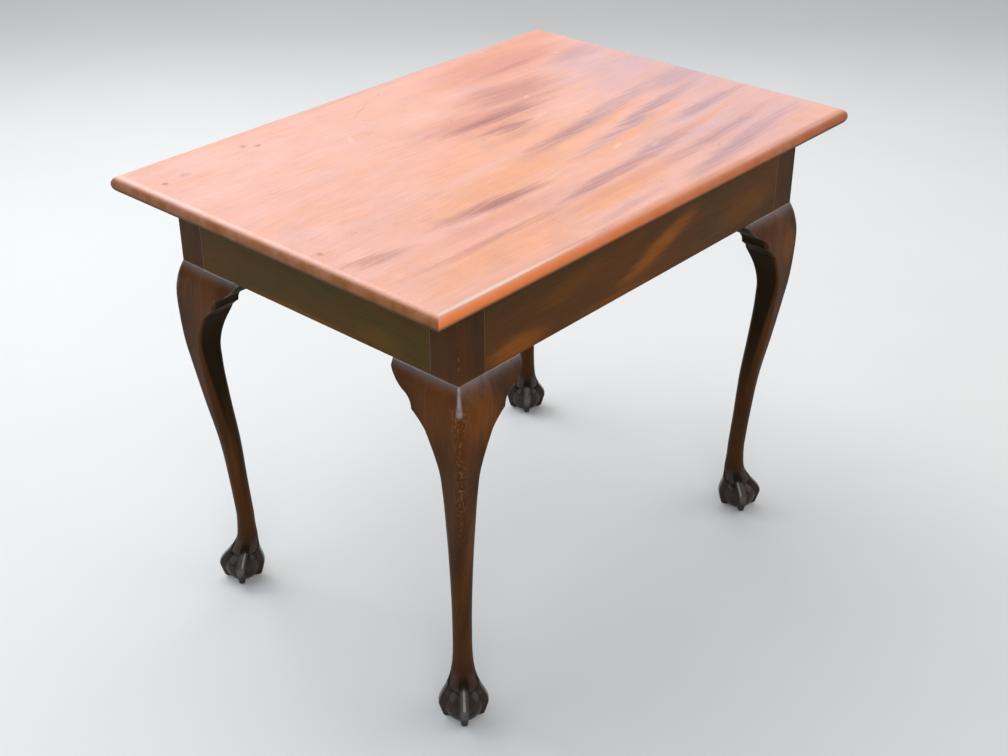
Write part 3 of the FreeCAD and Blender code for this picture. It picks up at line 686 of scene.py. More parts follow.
def leg_marks(rings, level, crease, crest):
    """Marks on a leg's rings: wear along the outer edge, pale lines at the joints, painted highlights along
    the ledge at the apron and on the outer edge's wedge, painted sheen on the long side's knee top, painted
    shade on the inner sides and in the creases, and gloss on the knee's top and outer edge and on the claws."""
    z = level[:, None]
    drop = APRON_BOTTOM - z
    near = rings.min(axis=(1, 2))[:, None, None]
    far = rings.max(axis=(1, 2))[:, None, None]
    toward = (rings - near) / (far - near)
    nearer, farther = toward.min(axis=-1), toward.max(axis=-1)
    outer = fade(*OUTER_SHARES, nearer + farther / 2)
    aside = np.abs(rings[..., 0] - rings[..., 1])
    long_side = ease(*LONG_SIDE_SHARES, toward[..., 0] - toward[..., 1])
    joint = np.zeros(rings.shape[1])
    points = ARC_POINTS + len(SIDE_SHARES)
    for corner in (1, 3):
        joint[corner * points:corner * points + ARC_POINTS] = 1.0

    knee_wear = ease(*WEAR_START, drop) * (1 - ease(*WEAR_HALVED, drop) / 2) * fade(*WEAR_END, drop)
    knee_wear = bell(aside, WEAR_WIDTH) * outer * knee_wear
    post_wear = POST_WEAR * fade(*POST_WEAR_END, drop) * bell(aside, POST_WEAR_WIDTH) * outer
    below = ease(*LEDGE_START, drop)
    wedge = WEDGE_HALF_WIDTH + WEDGE_GROWTH * np.clip(drop, 0.0, WEDGE_GROWTH_END)
    in_wedge = fade(WEDGE_RIM[0] * wedge, WEDGE_RIM[1] * wedge, aside)
    # Wedge on the outer edge: a painted highlight there, and gloss
    rubbed_and_highlit = below * fade(*WEDGE_END, drop) * in_wedge * outer
    on_joint = POST_JOINT_LINE * fade(*POST_JOINT_END, drop)
    on_joint = on_joint + KNEE_JOINT_LINE * below * fade(*KNEE_JOINT_END, drop)
    # Painted highlight: a pale line along the ledge under the apron
    ledge_highlight = LEDGE_HIGHLIGHT * below * fade(*LEDGE_END, drop)
    # Painted sheen on the long side's knee top
    sheen = KNEE_SHEEN * long_side * below * bell(drop, SHEEN_DROP)
    lines = np.broadcast_arrays(on_joint * joint, ledge_highlight, WEDGE_HIGHLIGHT * rubbed_and_highlit, sheen)
    # Painted shade on the inner side of the leg and in the creases of the foot
    inner = ease(*INSIDE_FAR_SHARES, farther) * ease(*INSIDE_NEAR_SHARES, nearer)
    inner = inner * ease(*INSIDE_HEIGHTS, z) * ease(*INSIDE_START, drop)
    polished = LEDGE_SHINE * below * bell(drop, LEDGE_SHINE_DROP)
    foot = fade(*FOOT_SHINE_HEIGHTS, z) * (BALL_SHINE + (1 - BALL_SHINE) * crest) * (1 - crease)
    return {
        "wear": np.maximum(knee_wear, post_wear),
        "line": np.max(lines, axis=0),
        "inside": np.maximum(inner, crease),
        "gloss": np.maximum(np.maximum(polished, foot), rubbed_and_highlit),
    }


def block_outline(sizes):
    """Distances from the leg and drops of a knee block's lower edge: a sweep up to the cusp, a hollow up to
    the outer lobe, and the lobe. Each is its chord, moved out by a bulge times 4t(1 - t)."""
    way = np.linspace(0, 1, SWEEP_POINTS)[:, None]

    def sweep(start, end, bulge):
        chord = np.subtract(end, start)
        outwards = np.array((-chord[1], chord[0])) / np.linalg.norm(chord)
        return np.asarray(start) + way * chord + bulge * 4 * way * (1 - way) * outwards

    toe = (0.0, sizes.knee_drop)
    cusp = (sizes.cusp_distance, sizes.cusp_drop)
    lobe = (sizes.lobe_distance, sizes.lobe_drop)
    tip = (sizes.block_length, sizes.block_end)
    hollows = (sweep(toe, cusp, -sizes.sweep_hollow), sweep(cusp, lobe, -sizes.cusp_hollow)[1:])
    return np.concatenate(hollows + (sweep(lobe, tip, sizes.lobe_bulge)[1:],))


def block_skin(sizes, sheen):
    """Skin of the knee block beside a leg under the long apron, and the marks on its points. Each ring is a
    cut across the block: its face swells as the knee's does at the leg and less towards its end."""
    outline = block_outline(sizes)
    distance = outline[:, :1]
    depth = outline[:, 1:]
    along = distance / sizes.block_length
    way = np.linspace(0, 1, BLOCK_FACE_LINES) ** BLOCK_FACE_CROWDING
    drop = depth * way
    at_leg = knee_swell(sizes, drop, sizes.seam_fullness)
    at_end = knee_swell(sizes, drop, sizes.end_fullness)
    face = -(at_leg + (at_end - at_leg) * along)
    under = np.linspace(0, 1, BLOCK_SIDE_LINES)[1:-1]
    bottom = face[:, -1:] + (sizes.block_depth - face[:, -1:]) * under
    back = np.linspace(1, 0, BLOCK_SIDE_LINES) * depth
    inwards = np.linspace(1, 0, BLOCK_TOP_LINES)[1:-1] * sizes.block_depth
    top = np.broadcast_to(inwards, (len(depth), len(inwards)))
    across = np.concatenate((face, bottom, np.full_like(back, sizes.block_depth), top), axis=1)
    low = np.broadcast_to(depth, bottom.shape)
    drops = np.concatenate((drop, low, back, np.zeros_like(top)), axis=1)
    u = np.broadcast_to(sizes.post_size + distance, across.shape)
    vertices, faces = capped_rings(np.stack((u, across, APRON_BOTTOM - drops), axis=-1))

    on_face = np.zeros(across.shape[1])
    on_face[:len(way)] = 1.0
    # Painted highlight: a pale line along the block's ledge under the apron
    ledge_highlight = BLOCK_LEDGE_HIGHLIGHT * fade(*LEDGE_END, drops)
    marks = {
        "wear": BLOCK_WEAR * bell(depth - drops, BLOCK_WEAR_WIDTH) * on_face,
        # Painted highlight along the ledge, and painted sheen on the long side's block
        "line": np.maximum(ledge_highlight, sheen * bell(drops, SHEEN_DROP)) * on_face,
        # Painted shade on the block's underside, back and ends
        "inside": np.broadcast_to(1 - on_face, drops.shape),
        "gloss": LEDGE_SHINE * bell(drops, LEDGE_SHINE_DROP) * on_face,
    }
    return vertices, faces, with_ends(marks, 1.0)


def half_round(distance, radius):
    """Half thickness at a distance in from a half-round edge: √(r² - (r - distance)²), and r past r."""
    short = radius - np.minimum(distance, radius)
    return np.sqrt(np.clip(radius ** 2 - short ** 2, 0.0, None))


def board_lines(low, high, round_low, round_high, radius, plain):
    """Grid lines across a board: on a round edge even in angle, and evenly spread between its edges."""
    bend = radius * (1 - np.cos(np.linspace(0, math.pi / 2, BOARD_ROUND_LINES)))
    start = low + radius if round_low else low
    end = high - radius if round_high else high
    parts = [np.linspace(start, end, plain)]
    if round_low:
        parts.insert(0, low + bend[:-1])
    if round_high:
        parts.append(high - bend[-2::-1])
    return np.concatenate(parts)


def board_skin(low_y, high_y):
    """Skin of one board of the top: two faces at the middle height plus and minus the half thickness, which
    is the lesser of the two edges' half-round profiles, so that the rounds meet in an arris at a corner."""
    radius = (TABLE_HEIGHT - FRAME_TOP) / 2
    outer_low = low_y < -TOP_HALF_WIDTH + radius
    outer_high = high_y > TOP_HALF_WIDTH - radius
    x = board_lines(-TOP_HALF_LENGTH, TOP_HALF_LENGTH, True, True, radius, BOARD_LENGTH_LINES)
    y = board_lines(low_y, high_y, outer_low, outer_high, radius, BOARD_WIDTH_LINES)
    x, y = np.meshgrid(x, y, indexing="ij")
    at_end = half_round(TOP_HALF_LENGTH - np.abs(x), radius)
    at_side = half_round(TOP_HALF_WIDTH - np.abs(y), radius)
    half = np.minimum(at_end, at_side)
    middle = FRAME_TOP + radius
    top = np.stack((x, y, middle + half), axis=-1).reshape(-1, 3)
    under = np.stack((x, y, middle - half), axis=-1).reshape(-1, 3)

    number = np.arange(x.size).reshape(x.shape)
    cells = (number[:-1, :-1], number[1:, :-1], number[1:, 1:], number[:-1, 1:])
    a, b, c, d = (part.ravel() for part in cells)
    rising = (top[a, 0] + top[c, 0]) * (top[a, 1] + top[c, 1]) > 0
    first = np.where(rising[:, None], np.stack((a, b, c), axis=-1), np.stack((a, b, d), axis=-1))
    second = np.where(rising[:, None], np.stack((a, c, d), axis=-1), np.stack((b, c, d), axis=-1))
    upper = np.concatenate((first, second))
    face_sets = [upper, upper[:, ::-1] + x.size]
    for rim, rounded in ((number[::-1, 0], outer_low), (number[:, -1], outer_high)):
        if not rounded:
            face_sets.append(np.stack((rim[:-1], rim[1:], rim[1:] + x.size, rim[:-1] + x.size), axis=-1))
    return np.concatenate((top, under)), face_sets


def weld(mesh):
    """Joins points that lie on each other, so that the skin is closed along its rim, and finds its sharp
    edges anew."""
    shape = bmesh.new()
    shape.from_mesh(mesh)
    bmesh.ops.remove_doubles(shape, verts=shape.verts, dist=WELD_DISTANCE)
    bmesh.ops.dissolve_degenerate(shape, edges=shape.edges, dist=THIN_EDGE)
    shape.to_mesh(mesh)
    shape.free()
    mesh.set_sharp_from_angle(angle=math.radians(SHARP_DEGREES))


def set_inputs(tree, node, inputs):
    """Links each named or numbered input of a node to a socket, or sets it to a value."""
    for key, value in inputs.items():
        if isinstance(value, bpy.types.NodeSocket):
            tree.links.new(value, node.inputs[key])
        else:
            node.inputs[key].default_value = value


def add_node(tree, kind, inputs, **settings):
    """New node with its settings and inputs."""
    made = tree.nodes.new(kind)
    for name, value in settings.items():
        setattr(made, name, value)
    set_inputs(tree, made, inputs)
    return made


def calculate(tree, operation, first, second=0.0, clamp=False):
    """Result of one sum on two values."""
    inputs = {0: first, 1: second}
    return add_node(tree, "ShaderNodeMath", inputs, operation=operation, use_clamp=clamp).outputs[0]


def times(tree, first, second, clamp=False):
    """Product of two values."""
    return calculate(tree, "MULTIPLY", first, second, clamp)


def plus(tree, first, second):
    """Sum of two values."""
    return calculate(tree, "ADD", first, second)


def minus(tree, first, second, clamp=False):
    """Difference of two values."""
    return calculate(tree, "SUBTRACT", first, second, clamp)


def greater(tree, first, second):
    """Greater of two values."""
    return calculate(tree, "MAXIMUM", first, second)


def remap(tree, value, low, high, new_low=0.0, new_high=1.0):
    """Value moved smoothly from one range to another."""
    inputs = {"Value": value, "From Min": low, "From Max": high, "To Min": new_low, "To Max": new_high}
    return add_node(tree, "ShaderNodeMapRange", inputs, interpolation_type="SMOOTHSTEP").outputs["Result"]


def mix_colour(tree, share, first, second, blend="MIX"):
    """Mix of two colours by a share."""
    made = add_node(tree, "ShaderNodeMix", {"Factor": share}, data_type="RGBA", blend_type=blend)
    for key, value in ((6, first), (7, second)):
        colour = value if isinstance(value, bpy.types.NodeSocket) else (*value, 1.0)
        set_inputs(tree, made, {key: colour})
    return made.outputs[2]


def shaded(tree, colour, factor):
    """Colour multiplied by a value."""
    grey = add_node(tree, "ShaderNodeCombineXYZ", {"X": factor, "Y": factor, "Z": factor}).outputs[0]
    return mix_colour(tree, 1.0, colour, grey, "MULTIPLY")


def axes(tree, vector):
    """The three values of a vector."""
    return add_node(tree, "ShaderNodeSeparateXYZ", {"Vector": vector}).outputs


def combined(tree, operation, first, second):
    """Result of one sum on two vectors."""
    return add_node(tree, "ShaderNodeVectorMath", {0: first, 1: second}, operation=operation).outputs[0]


def stretched(tree, vector, factors):
    """Vector with each of its three values multiplied by a factor."""
    return combined(tree, "MULTIPLY", vector, factors)


def noise(tree, vector, scale, detail=3.0, roughness=0.55, distortion=0.0, output="Fac"):
    """Soft noise at a vector."""
    inputs = {"Vector": vector, "Scale": scale, "Detail": detail, "Roughness": roughness,
              "Distortion": distortion}
    return add_node(tree, "ShaderNodeTexNoise", inputs).outputs[output]


def new_group(name, vectors, values, results):
    """Empty shader node group that takes named vectors and values and puts out named values."""
    group = bpy.data.node_groups.new(name, "ShaderNodeTree")
    sockets = [(label, "INPUT", "NodeSocketVector") for label in vectors]
    sockets += [(label, "INPUT", "NodeSocketFloat") for label in values]
    sockets += [(label, "OUTPUT", "NodeSocketFloat") for label in results]
    for label, way, kind in sockets:
        group.interface.new_socket(label, in_out=way, socket_type=kind)
    return group, group.nodes.new("NodeGroupInput").outputs, group.nodes.new("NodeGroupOutput")


def grain_group():
    """Grain along the vector's first axis: broad streaks, fine fibres, short pores, and their relief."""
    group, source, result = new_group("wood_grain", ("Vector",), ("Streak Scale", "Fibre Scale"),
                                      ("Streak", "Fibre", "Pore", "Relief"))
    wander = times(group, noise(group, source["Vector"], 4.0, 2.0), 0.05)
    drift = add_node(group, "ShaderNodeCombineXYZ", {"Y": wander}).outputs[0]
    bent = combined(group, "ADD", source["Vector"], drift)
    streak = noise(group, stretched(group, bent, (0.07, 1.0, 1.0)), source["Streak Scale"], 5.0, 0.6)
    fibre = noise(group, stretched(group, bent, (0.02, 1.0, 1.0)), source["Fibre Scale"], 4.0, 0.65)
    pore = noise(group, stretched(group, bent, (0.06, 1.0, 1.0)), PORE_SCALE, 2.0, 0.5)
    pore = remap(group, pore, 0.60, 0.72)
    streak = remap(group, streak, 0.32, 0.68)
    relief = minus(group, times(group, fibre, 0.6), pore)
    set_inputs(group, result, {"Streak": streak, "Fibre": fibre, "Pore": pore, "Relief": relief})
    return group


def patch_group():
    """Soft oval patch: 1 at its place, fading to 0 at its rim, turned in the plane of the first two axes."""
    group, source, result = new_group("soft_patch", ("Vector", "Place", "Turn", "Half Size"), ("Strength",),
                                      ("Mask",))
    inputs = {"Vector": source["Vector"], "Location": source["Place"], "Rotation": source["Turn"],
              "Scale": source["Half Size"]}
    local = add_node(group, "ShaderNodeMapping", inputs, vector_type="TEXTURE").outputs[0]
    flat = stretched(group, local, (1.0, 1.0, 0.0))
    reach = add_node(group, "ShaderNodeVectorMath", {0: flat}, operation="LENGTH").outputs["Value"]
    mask = times(group, remap(group, reach, 1.0, 0.2), source["Strength"])
    set_inputs(group, result, {"Mask": mask})
    return group


def wear_group():
    """Worn edges: the wear painted on a piece's points, broken up by noise."""
    group, source, result = new_group("edge_wear", ("Vector",), ("Edge", "Amount"), ("Mask",))
    broken = noise(group, stretched(group, source["Vector"], (1.0, 1.0, 0.6)), 330.0, 3.0, 0.65)
    patchy = noise(group, source["Vector"], 26.0, 2.0)
    both = times(group, remap(group, broken, 0.49, 0.64), remap(group, patchy, 0.34, 0.58))
    mask = times(group, times(group, both, source["Edge"]), source["Amount"], True)
    set_inputs(group, result, {"Mask": mask})
    return group


def scuff_group():
    """Old scuffs and dust: small pale marks scattered over a surface, and a fine uneven dullness."""
    group, source, result = new_group("scuffs_and_dust", ("Vector",), ("Amount",), ("Scuff", "Dullness"))
    marks = noise(group, stretched(group, source["Vector"], (0.5, 1.0, 1.0)), 75.0, 5.0, 0.75, 0.6)
    field = noise(group, source["Vector"], 7.0, 2.0)
    marks = times(group, remap(group, marks, 0.62, 0.78), remap(group, field, 0.45, 0.65))
    marks = times(group, marks, source["Amount"], True)
    dull = noise(group, source["Vector"], 18.0, 6.0, 0.7)
    set_inputs(group, result, {"Scuff": marks, "Dullness": dull})
    return group


def place_group(tree, name, inputs):
    """Outputs of a shared effect placed in a finish. It is built the first time it is asked for."""
    makers = {"wood_grain": grain_group, "soft_patch": patch_group, "edge_wear": wear_group,
              "scuffs_and_dust": scuff_group}
    group = bpy.data.node_groups.get(name) or makers[name]()
    return add_node(tree, "ShaderNodeGroup", inputs, node_tree=group).outputs


def wood_grain(tree, vector, streak_scale, fibre_scale):
    """Grain with its own scales."""
    inputs = {"Vector": vector, "Streak Scale": streak_scale, "Fibre Scale": fibre_scale}
    return place_group(tree, "wood_grain", inputs)


def scuffs_and_dust(tree, vector, amount):
    """Scuffs and dust by their own amount."""
    return place_group(tree, "scuffs_and_dust", {"Vector": vector, "Amount": amount})


def patches(tree, vector, rows):
    """Greatest of several soft patches: place along and across, length, width, turn and strength."""
    total = 0.0
    for along, across, length, width, turn, strength in rows:
        inputs = {"Vector": vector, "Place": (along, across, 0.0), "Turn": (0.0, 0.0, math.radians(turn)),
                  "Half Size": (length / 2, width / 2, 1.0), "Strength": strength}
        total = greater(tree, place_group(tree, "soft_patch", inputs)["Mask"], total)
    return total


def new_material(name):
    """Material with an empty tree, its surface shader and the object's own coordinates."""
    material = bpy.data.materials.new(name)
    material.use_nodes = True
    tree = material.node_tree
    tree.nodes.clear()
    shader = tree.nodes.new("ShaderNodeBsdfPrincipled")
    add_node(tree, "ShaderNodeOutputMaterial", {"Surface": shader.outputs[0]})
    place = tree.nodes.new("ShaderNodeTexCoord").outputs["Object"]
    return material, tree, shader, place


def turned_axes(tree, place, order):
    """Coordinates in another order of axes, so that the first of them runs along the grain."""
    parts = axes(tree, place)
    inputs = dict(zip("XYZ", (parts[axis] for axis in order)))
    return add_node(tree, "ShaderNodeCombineXYZ", inputs).outputs[0]


def wavy(tree, vector, along, across):
    """Coordinates moved about by noise that is drawn out with the grain."""
    swing = noise(tree, stretched(tree, vector, (0.12, 1.0, 1.0)), 60.0, 5.0, 0.65, output="Color")
    even = combined(tree, "SUBTRACT", swing, (0.5, 0.5, 0.5))
    return combined(tree, "ADD", vector, stretched(tree, even, (along, across, 0.0)))


def by_fibre(tree, grain, low, high):
    """Value between two limits that follows the fibres."""
    return remap(tree, grain["Fibre"], 0.35, 0.65, low, high)


def by_dullness(tree, scuffs, low, high):
    """Value between two limits that follows the uneven dullness."""
    return remap(tree, scuffs["Dullness"], 0.3, 0.7, low, high)


def by_depth(tree, height, depths, new_low=0.0, new_high=1.0):
    """Value between two limits that changes between two depths below the table's height."""
    return remap(tree, height, TABLE_HEIGHT - depths[0], TABLE_HEIGHT - depths[1], new_low, new_high)


def mark_value(tree, name):
    """Value of a mark on a piece's points."""
    return add_node(tree, "ShaderNodeAttribute", {}, attribute_name=name).outputs["Fac"]


def grain_normal(tree, relief, strength=GRAIN_STRENGTH, depth=GRAIN_DEPTH):
    """Normal of a surface with fine relief."""
    inputs = {"Height": relief, "Strength": strength, "Distance": depth}
    return add_node(tree, "ShaderNodeBump", inputs).outputs[0]


def top_ground(tree, colours, grain, drawn):
    """Ground of the top: salmon with pinker and greyer parts that are painted sheen and painted sky
    reflection, warmer and redder parts, and soft streaks.
    """
    colour = colours.top_ground
    for rows, tint in ((PINK_SHEEN, colours.top_pink_sheen), (GREY_REFLECTION, colours.top_grey_reflection),
                       (ORANGE_GROUND, colours.top_orange), (RED_GROUND, colours.top_red)):
        colour = mix_colour(tree, patches(tree, drawn, rows), colour, tint)
    mottle = noise(tree, stretched(tree, drawn, (0.4, 1.0, 1.0)), 26.0, 4.0, 0.6)
    colour = mix_colour(tree, remap(tree, mottle, 0.40, 0.70, 0.0, 0.35), colour, colours.top_orange)
    return mix_colour(tree, times(tree, grain["Streak"], 0.22), colour, colours.top_orange)


def top_edge(tree, colours, place, colour):
    """Colour of the top with its round edge, and how far a point belongs to the underside. The long sides
    darken to the right and have a painted highlight, a pale line, near the left corners. The ends are
    browner and darker: end grain with painted shade. The lower part of the edge and the underside are dark:
    painted shade over unfinished wood."""
    parts = axes(tree, place)
    blotch = remap(tree, noise(tree, place, 45.0, 4.0, 0.6), 0.3, 0.7, 0.80, 1.0)
    side = times(tree, by_depth(tree, parts["Z"], EDGE_DEPTHS), blotch)
    from_middle = [calculate(tree, "ABSOLUTE", parts[axis]) for axis in "XY"]
    nearer_end = minus(tree, *from_middle)
    mitre = TOP_HALF_LENGTH - TOP_HALF_WIDTH
    end = remap(tree, nearer_end, mitre - MITRE_HALF_WIDTH, mitre + MITRE_HALF_WIDTH)
    brightness = remap(tree, parts["X"], -TOP_HALF_LENGTH, TOP_HALF_LENGTH, *EDGE_BRIGHTNESS)
    # The ends take a darker colour: end grain with painted shade
    edge = mix_colour(tree, end, shaded(tree, colours.edge_brown, brightness), colours.edge_end_grain_and_shade)
    colour = mix_colour(tree, side, colour, edge)
    # Painted shade on the lower part of the edge and the underside, over darker unfinished wood
    under = by_depth(tree, parts["Z"], UNDER_DEPTHS)
    colour = mix_colour(tree, under, colour, colours.edge_under_wood_and_shade)
    # Painted highlight: a pale line on the long sides near the left corners, kept off the ends
    highlight = patches(tree, turned_axes(tree, place, "XZY"), EDGE_HIGHLIGHT)
    highlight = times(tree, highlight, minus(tree, 1.0, end))
    return mix_colour(tree, highlight, colour, colours.edge_highlight), under


def top_wood(colours):
    """Finish of the top: salmon mahogany with dark streaks, a greyer right end that is a painted sky
    reflection, dents and scuffs.
    """
    material, tree, shader, place = new_material("top_wood")
    grain = wood_grain(tree, place, *TOP_GRAIN)
    lines = wood_grain(tree, place, *TOP_LINES)["Fibre"]
    scuffs = scuffs_and_dust(tree, place, TOP_SCUFFS)
    drawn = wavy(tree, place, *GROUND_SWING)
    fine = wavy(tree, place, *MARK_SWING)

    colour = top_ground(tree, colours, grain, drawn)
    fibres = remap(tree, lines, 0.32, 0.60, 0.40, 1.1)
    # Grey bands are darker grain under a painted sheen; brown streaks are the wood's own
    for rows, tint in ((GREY_SHEEN_BANDS, colours.top_band_sheen), (BROWN_STREAKS, colours.top_streak)):
        share = times(tree, times(tree, patches(tree, drawn, rows), fibres), STREAK_SHARE)
        colour = mix_colour(tree, share, colour, tint)
    colour = shaded(tree, colour, by_fibre(tree, grain, 0.93, 1.05))
    colour = shaded(tree, colour, by_dullness(tree, scuffs, 0.94, 1.05))
    colour = mix_colour(tree, times(tree, grain["Pore"], PORE_SHARE), colour, colours.top_streak)
    pale = greater(tree, patches(tree, fine, SCUFFS), scuffs["Scuff"])
    colour = mix_colour(tree, times(tree, pale, SCUFF_SHARE), colour, colours.top_scuff)
    dents = patches(tree, fine, DENTS)
    colour = mix_colour(tree, times(tree, dents, DENT_SHARE), colour, colours.top_dent)
    colour, under = top_edge(tree, colours, place, colour)

    height = axes(tree, place)["Z"]
    rough = plus(tree, by_dullness(tree, scuffs, *TOP_ROUGHNESS), times(tree, pale, 0.15))
    coat = by_depth(tree, height, POLISH_DEPTHS, 0.0, TOP_COAT)
    coat = times(tree, coat, remap(tree, lines, 0.35, 0.62, 0.68, 1.0))
    open_pores = times(tree, grain["Pore"], 0.55)
    relief = minus(tree, grain["Relief"], times(tree, dents, DENT_RELIEF))
    relief = times(tree, relief, by_depth(tree, height, RELIEF_DEPTHS))
    set_inputs(tree, shader, {
        "Base Color": colour,
        "Roughness": plus(tree, rough, times(tree, under, 0.40)),
        "Coat Weight": times(tree, coat, minus(tree, 1.0, open_pores)),
        "Coat Roughness": TOP_COAT_ROUGHNESS,
        "Specular IOR Level": TOP_SPECULAR,
        "Normal": grain_normal(tree, relief),
    })
    return material


def frame_ground(tree, colours, ground, along, grain, warmth, figure):
    """Ground of the frame: a dark colour with reddish clouds, streaks along the grain and orange figure."""
    clouds = remap(tree, noise(tree, stretched(tree, along, (0.35, 1.0, 1.0)), 15.0, 3.0), 0.36, 0.68)
    warm = plus(tree, times(tree, clouds, 0.75), times(tree, grain["Streak"], 0.25))
    colour = mix_colour(tree, times(tree, warm, warmth), ground, colours.frame_red)
    glow = patches(tree, wavy(tree, along, *FIGURE_SWING), figure)
    glow = times(tree, glow, remap(tree, grain["Fibre"], 0.30, 0.60, 0.75, 1.0))
    colour = mix_colour(tree, glow, colour, colours.frame_glow)
    return shaded(tree, colour, by_fibre(tree, grain, 0.88, 1.08))


def frame_wood(name, colours, ground, order, warmth, figure):
    """Finish of the aprons: dark mahogany with reddish streaks along the grain, figure and scuffs."""
    material, tree, shader, place = new_material(name)
    along = turned_axes(tree, place, order)
    grain = wood_grain(tree, along, *FRAME_GRAIN)
    scuffs = scuffs_and_dust(tree, along, FRAME_SCUFFS)
    colour = frame_ground(tree, colours, ground, along, grain, warmth, figure)
    dusty = times(tree, scuffs["Scuff"], FRAME_DUST)
    set_inputs(tree, shader, {
        "Base Color": mix_colour(tree, dusty, colour, colours.frame_worn),
        "Roughness": by_dullness(tree, scuffs, *FRAME_ROUGHNESS),
        "Specular IOR Level": FRAME_SPECULAR,
        "Coat Weight": FRAME_COAT,
        "Coat Roughness": FRAME_COAT_ROUGHNESS,
        "Normal": grain_normal(tree, grain["Relief"]),
    })
    return material


def carved_wood(colours):
    """Finish of the legs and knee blocks: the frame's mahogany with upright grain, worn edges, pale joint
    lines, painted highlights and sheen on the ledges and knees, painted shade on the inner sides, undersides
    and creases, and black feet."""
    material, tree, shader, place = new_material("carved_wood")
    along = turned_axes(tree, place, "ZXY")
    grain = wood_grain(tree, along, *FRAME_GRAIN)
    scuffs = scuffs_and_dust(tree, along, FRAME_SCUFFS)
    height = axes(tree, place)["Z"]
    warmth = times(tree, remap(tree, height, *LEG_WARM_HEIGHTS, 0.45, 1.0),
                   remap(tree, height, *POST_WARM_HEIGHTS, 0.85, 0.40))
    colour = frame_ground(tree, colours, colours.frame_dark, along, grain, warmth, KNEE_FIGURE)
    dusty = times(tree, scuffs["Scuff"], FRAME_DUST)
    colour = mix_colour(tree, dusty, colour, colours.frame_worn)
    black = times(tree, remap(tree, height, *FOOT_BLACK_HEIGHTS), FOOT_BLACK_SHARE)
    colour = mix_colour(tree, black, colour, colours.foot_black)
    # Painted shade on inner sides, undersides and creases
    inside = mark_value(tree, "inside")
    colour = mix_colour(tree, times(tree, inside, INSIDE_SHADE_SHARE), colour, colours.frame_inside_shade)
    edge = greater(tree, mark_value(tree, "wear"), patches(tree, along, KNEE_WEAR))
    bare = place_group(tree, "edge_wear", {"Vector": place, "Edge": edge, "Amount": BARE_AMOUNT})["Mask"]
    colour = mix_colour(tree, bare, colour, colours.frame_worn)
    # Uneven strength of the pale joint lines and of the painted highlights and sheen
    rubbed_and_highlit = remap(tree, noise(tree, place, 140.0, 4.0, 0.65), 0.30, 0.60, 0.55, 1.0)
    line = times(tree, mark_value(tree, "line"), rubbed_and_highlit)

    gloss = mark_value(tree, "gloss")
    dull = greater(tree, bare, inside)
    rough = minus(tree, by_dullness(tree, scuffs, *FRAME_ROUGHNESS), times(tree, gloss, 0.12))
    coat = plus(tree, times(tree, gloss, 0.9), FRAME_COAT)
    relief = minus(tree, grain["Relief"], times(tree, bare, BARE_RELIEF))
    set_inputs(tree, shader, {
        "Base Color": mix_colour(tree, line, colour, colours.frame_line_and_highlight),
        "Roughness": plus(tree, rough, times(tree, dull, 0.25)),
        "Specular IOR Level": FRAME_SPECULAR,
        "Coat Weight": times(tree, coat, minus(tree, 1.0, dull, True)),
        "Coat Roughness": FRAME_COAT_ROUGHNESS,
        "Coat IOR": CARVED_COAT_IOR,
        "Normal": grain_normal(tree, relief),
    })
    return material


def inner_wood(colours):
    """Finish of the blocks and buttons inside the frame: pale unfinished softwood with brown grain."""
    material, tree, shader, place = new_material("inner_wood")
    grain = wood_grain(tree, place, *INNER_GRAIN)
    scuffs = scuffs_and_dust(tree, place, INNER_SCUFFS)
    colour = mix_colour(tree, grain["Streak"], colours.inner_pale, colours.inner_brown)
    dusty = times(tree, scuffs["Dullness"], INNER_DUST)
    set_inputs(tree, shader, {
        "Base Color": mix_colour(tree, dusty, colour, colours.inner_brown),
        "Roughness": by_dullness(tree, scuffs, *INNER_ROUGHNESS),
        "Normal": grain_normal(tree, grain["Relief"], INNER_STRENGTH, INNER_DEPTH),
    })
    return material


def screw_steel(colours):
    """Finish of the screws: dull old steel with rust in patches."""
    material, tree, shader, place = new_material("screw_steel")
    dullness = scuffs_and_dust(tree, stretched(tree, place, SCREW_SCALE), 1.0)["Dullness"]
    rust = remap(tree, dullness, 0.48, 0.62)
    set_inputs(tree, shader, {
        "Base Color": mix_colour(tree, rust, colours.steel, colours.rust),
        "Roughness": remap(tree, dullness, 0.40, 0.65, 0.38, 0.85),
        "Metallic": minus(tree, 1.0, rust),
    })
    return material


def dress_nodes(names, material):
    """Gives nodes of the frame a finish in every slot."""
    for name in names:
        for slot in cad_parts[name].material_slots:
            slot.material = material


def once(name, maker, colours):
    """Finish that several steps share, made by the first of them."""
    return bpy.data.materials.get(name) or maker(colours)


class TEATABLE_OT_top_boards(bpy.types.Operator):
    """Builds the boards of the top with their half-round edges"""
    bl_idname = "teatable.top_boards"
    bl_label = "Top boards"

    def execute(self, context):
        material = top_wood(context.scene.tea_table_colours)
        for node in TOP_BOARDS:
            low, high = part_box(node)
            vertices, faces = board_skin(low.y, high.y)
            piece = make_piece("board_" + node[-1], vertices, faces, material, node)
            weld(piece.data)
        return {"FINISHED"}


class TEATABLE_OT_legs(bpy.types.Operator):
    """Builds the four carved legs with their ball-and-claw feet"""
    bl_idname = "teatable.legs"
    bl_label = "Legs"

    def execute(self, context):
        material = once("carved_wood", carved_wood, context.scene.tea_table_colours)
        vertices, faces, marks = leg_skin(context.scene.tea_table_sizes)
        for corner, signs in CORNERS.items():
            placed, turned = at_corner(vertices, faces, signs)
            node = "leg_" + corner
            make_piece("carved_" + node, placed, turned, material, node, marks,
                       LEG_SHARP_DEGREES)
        return {"FINISHED"}


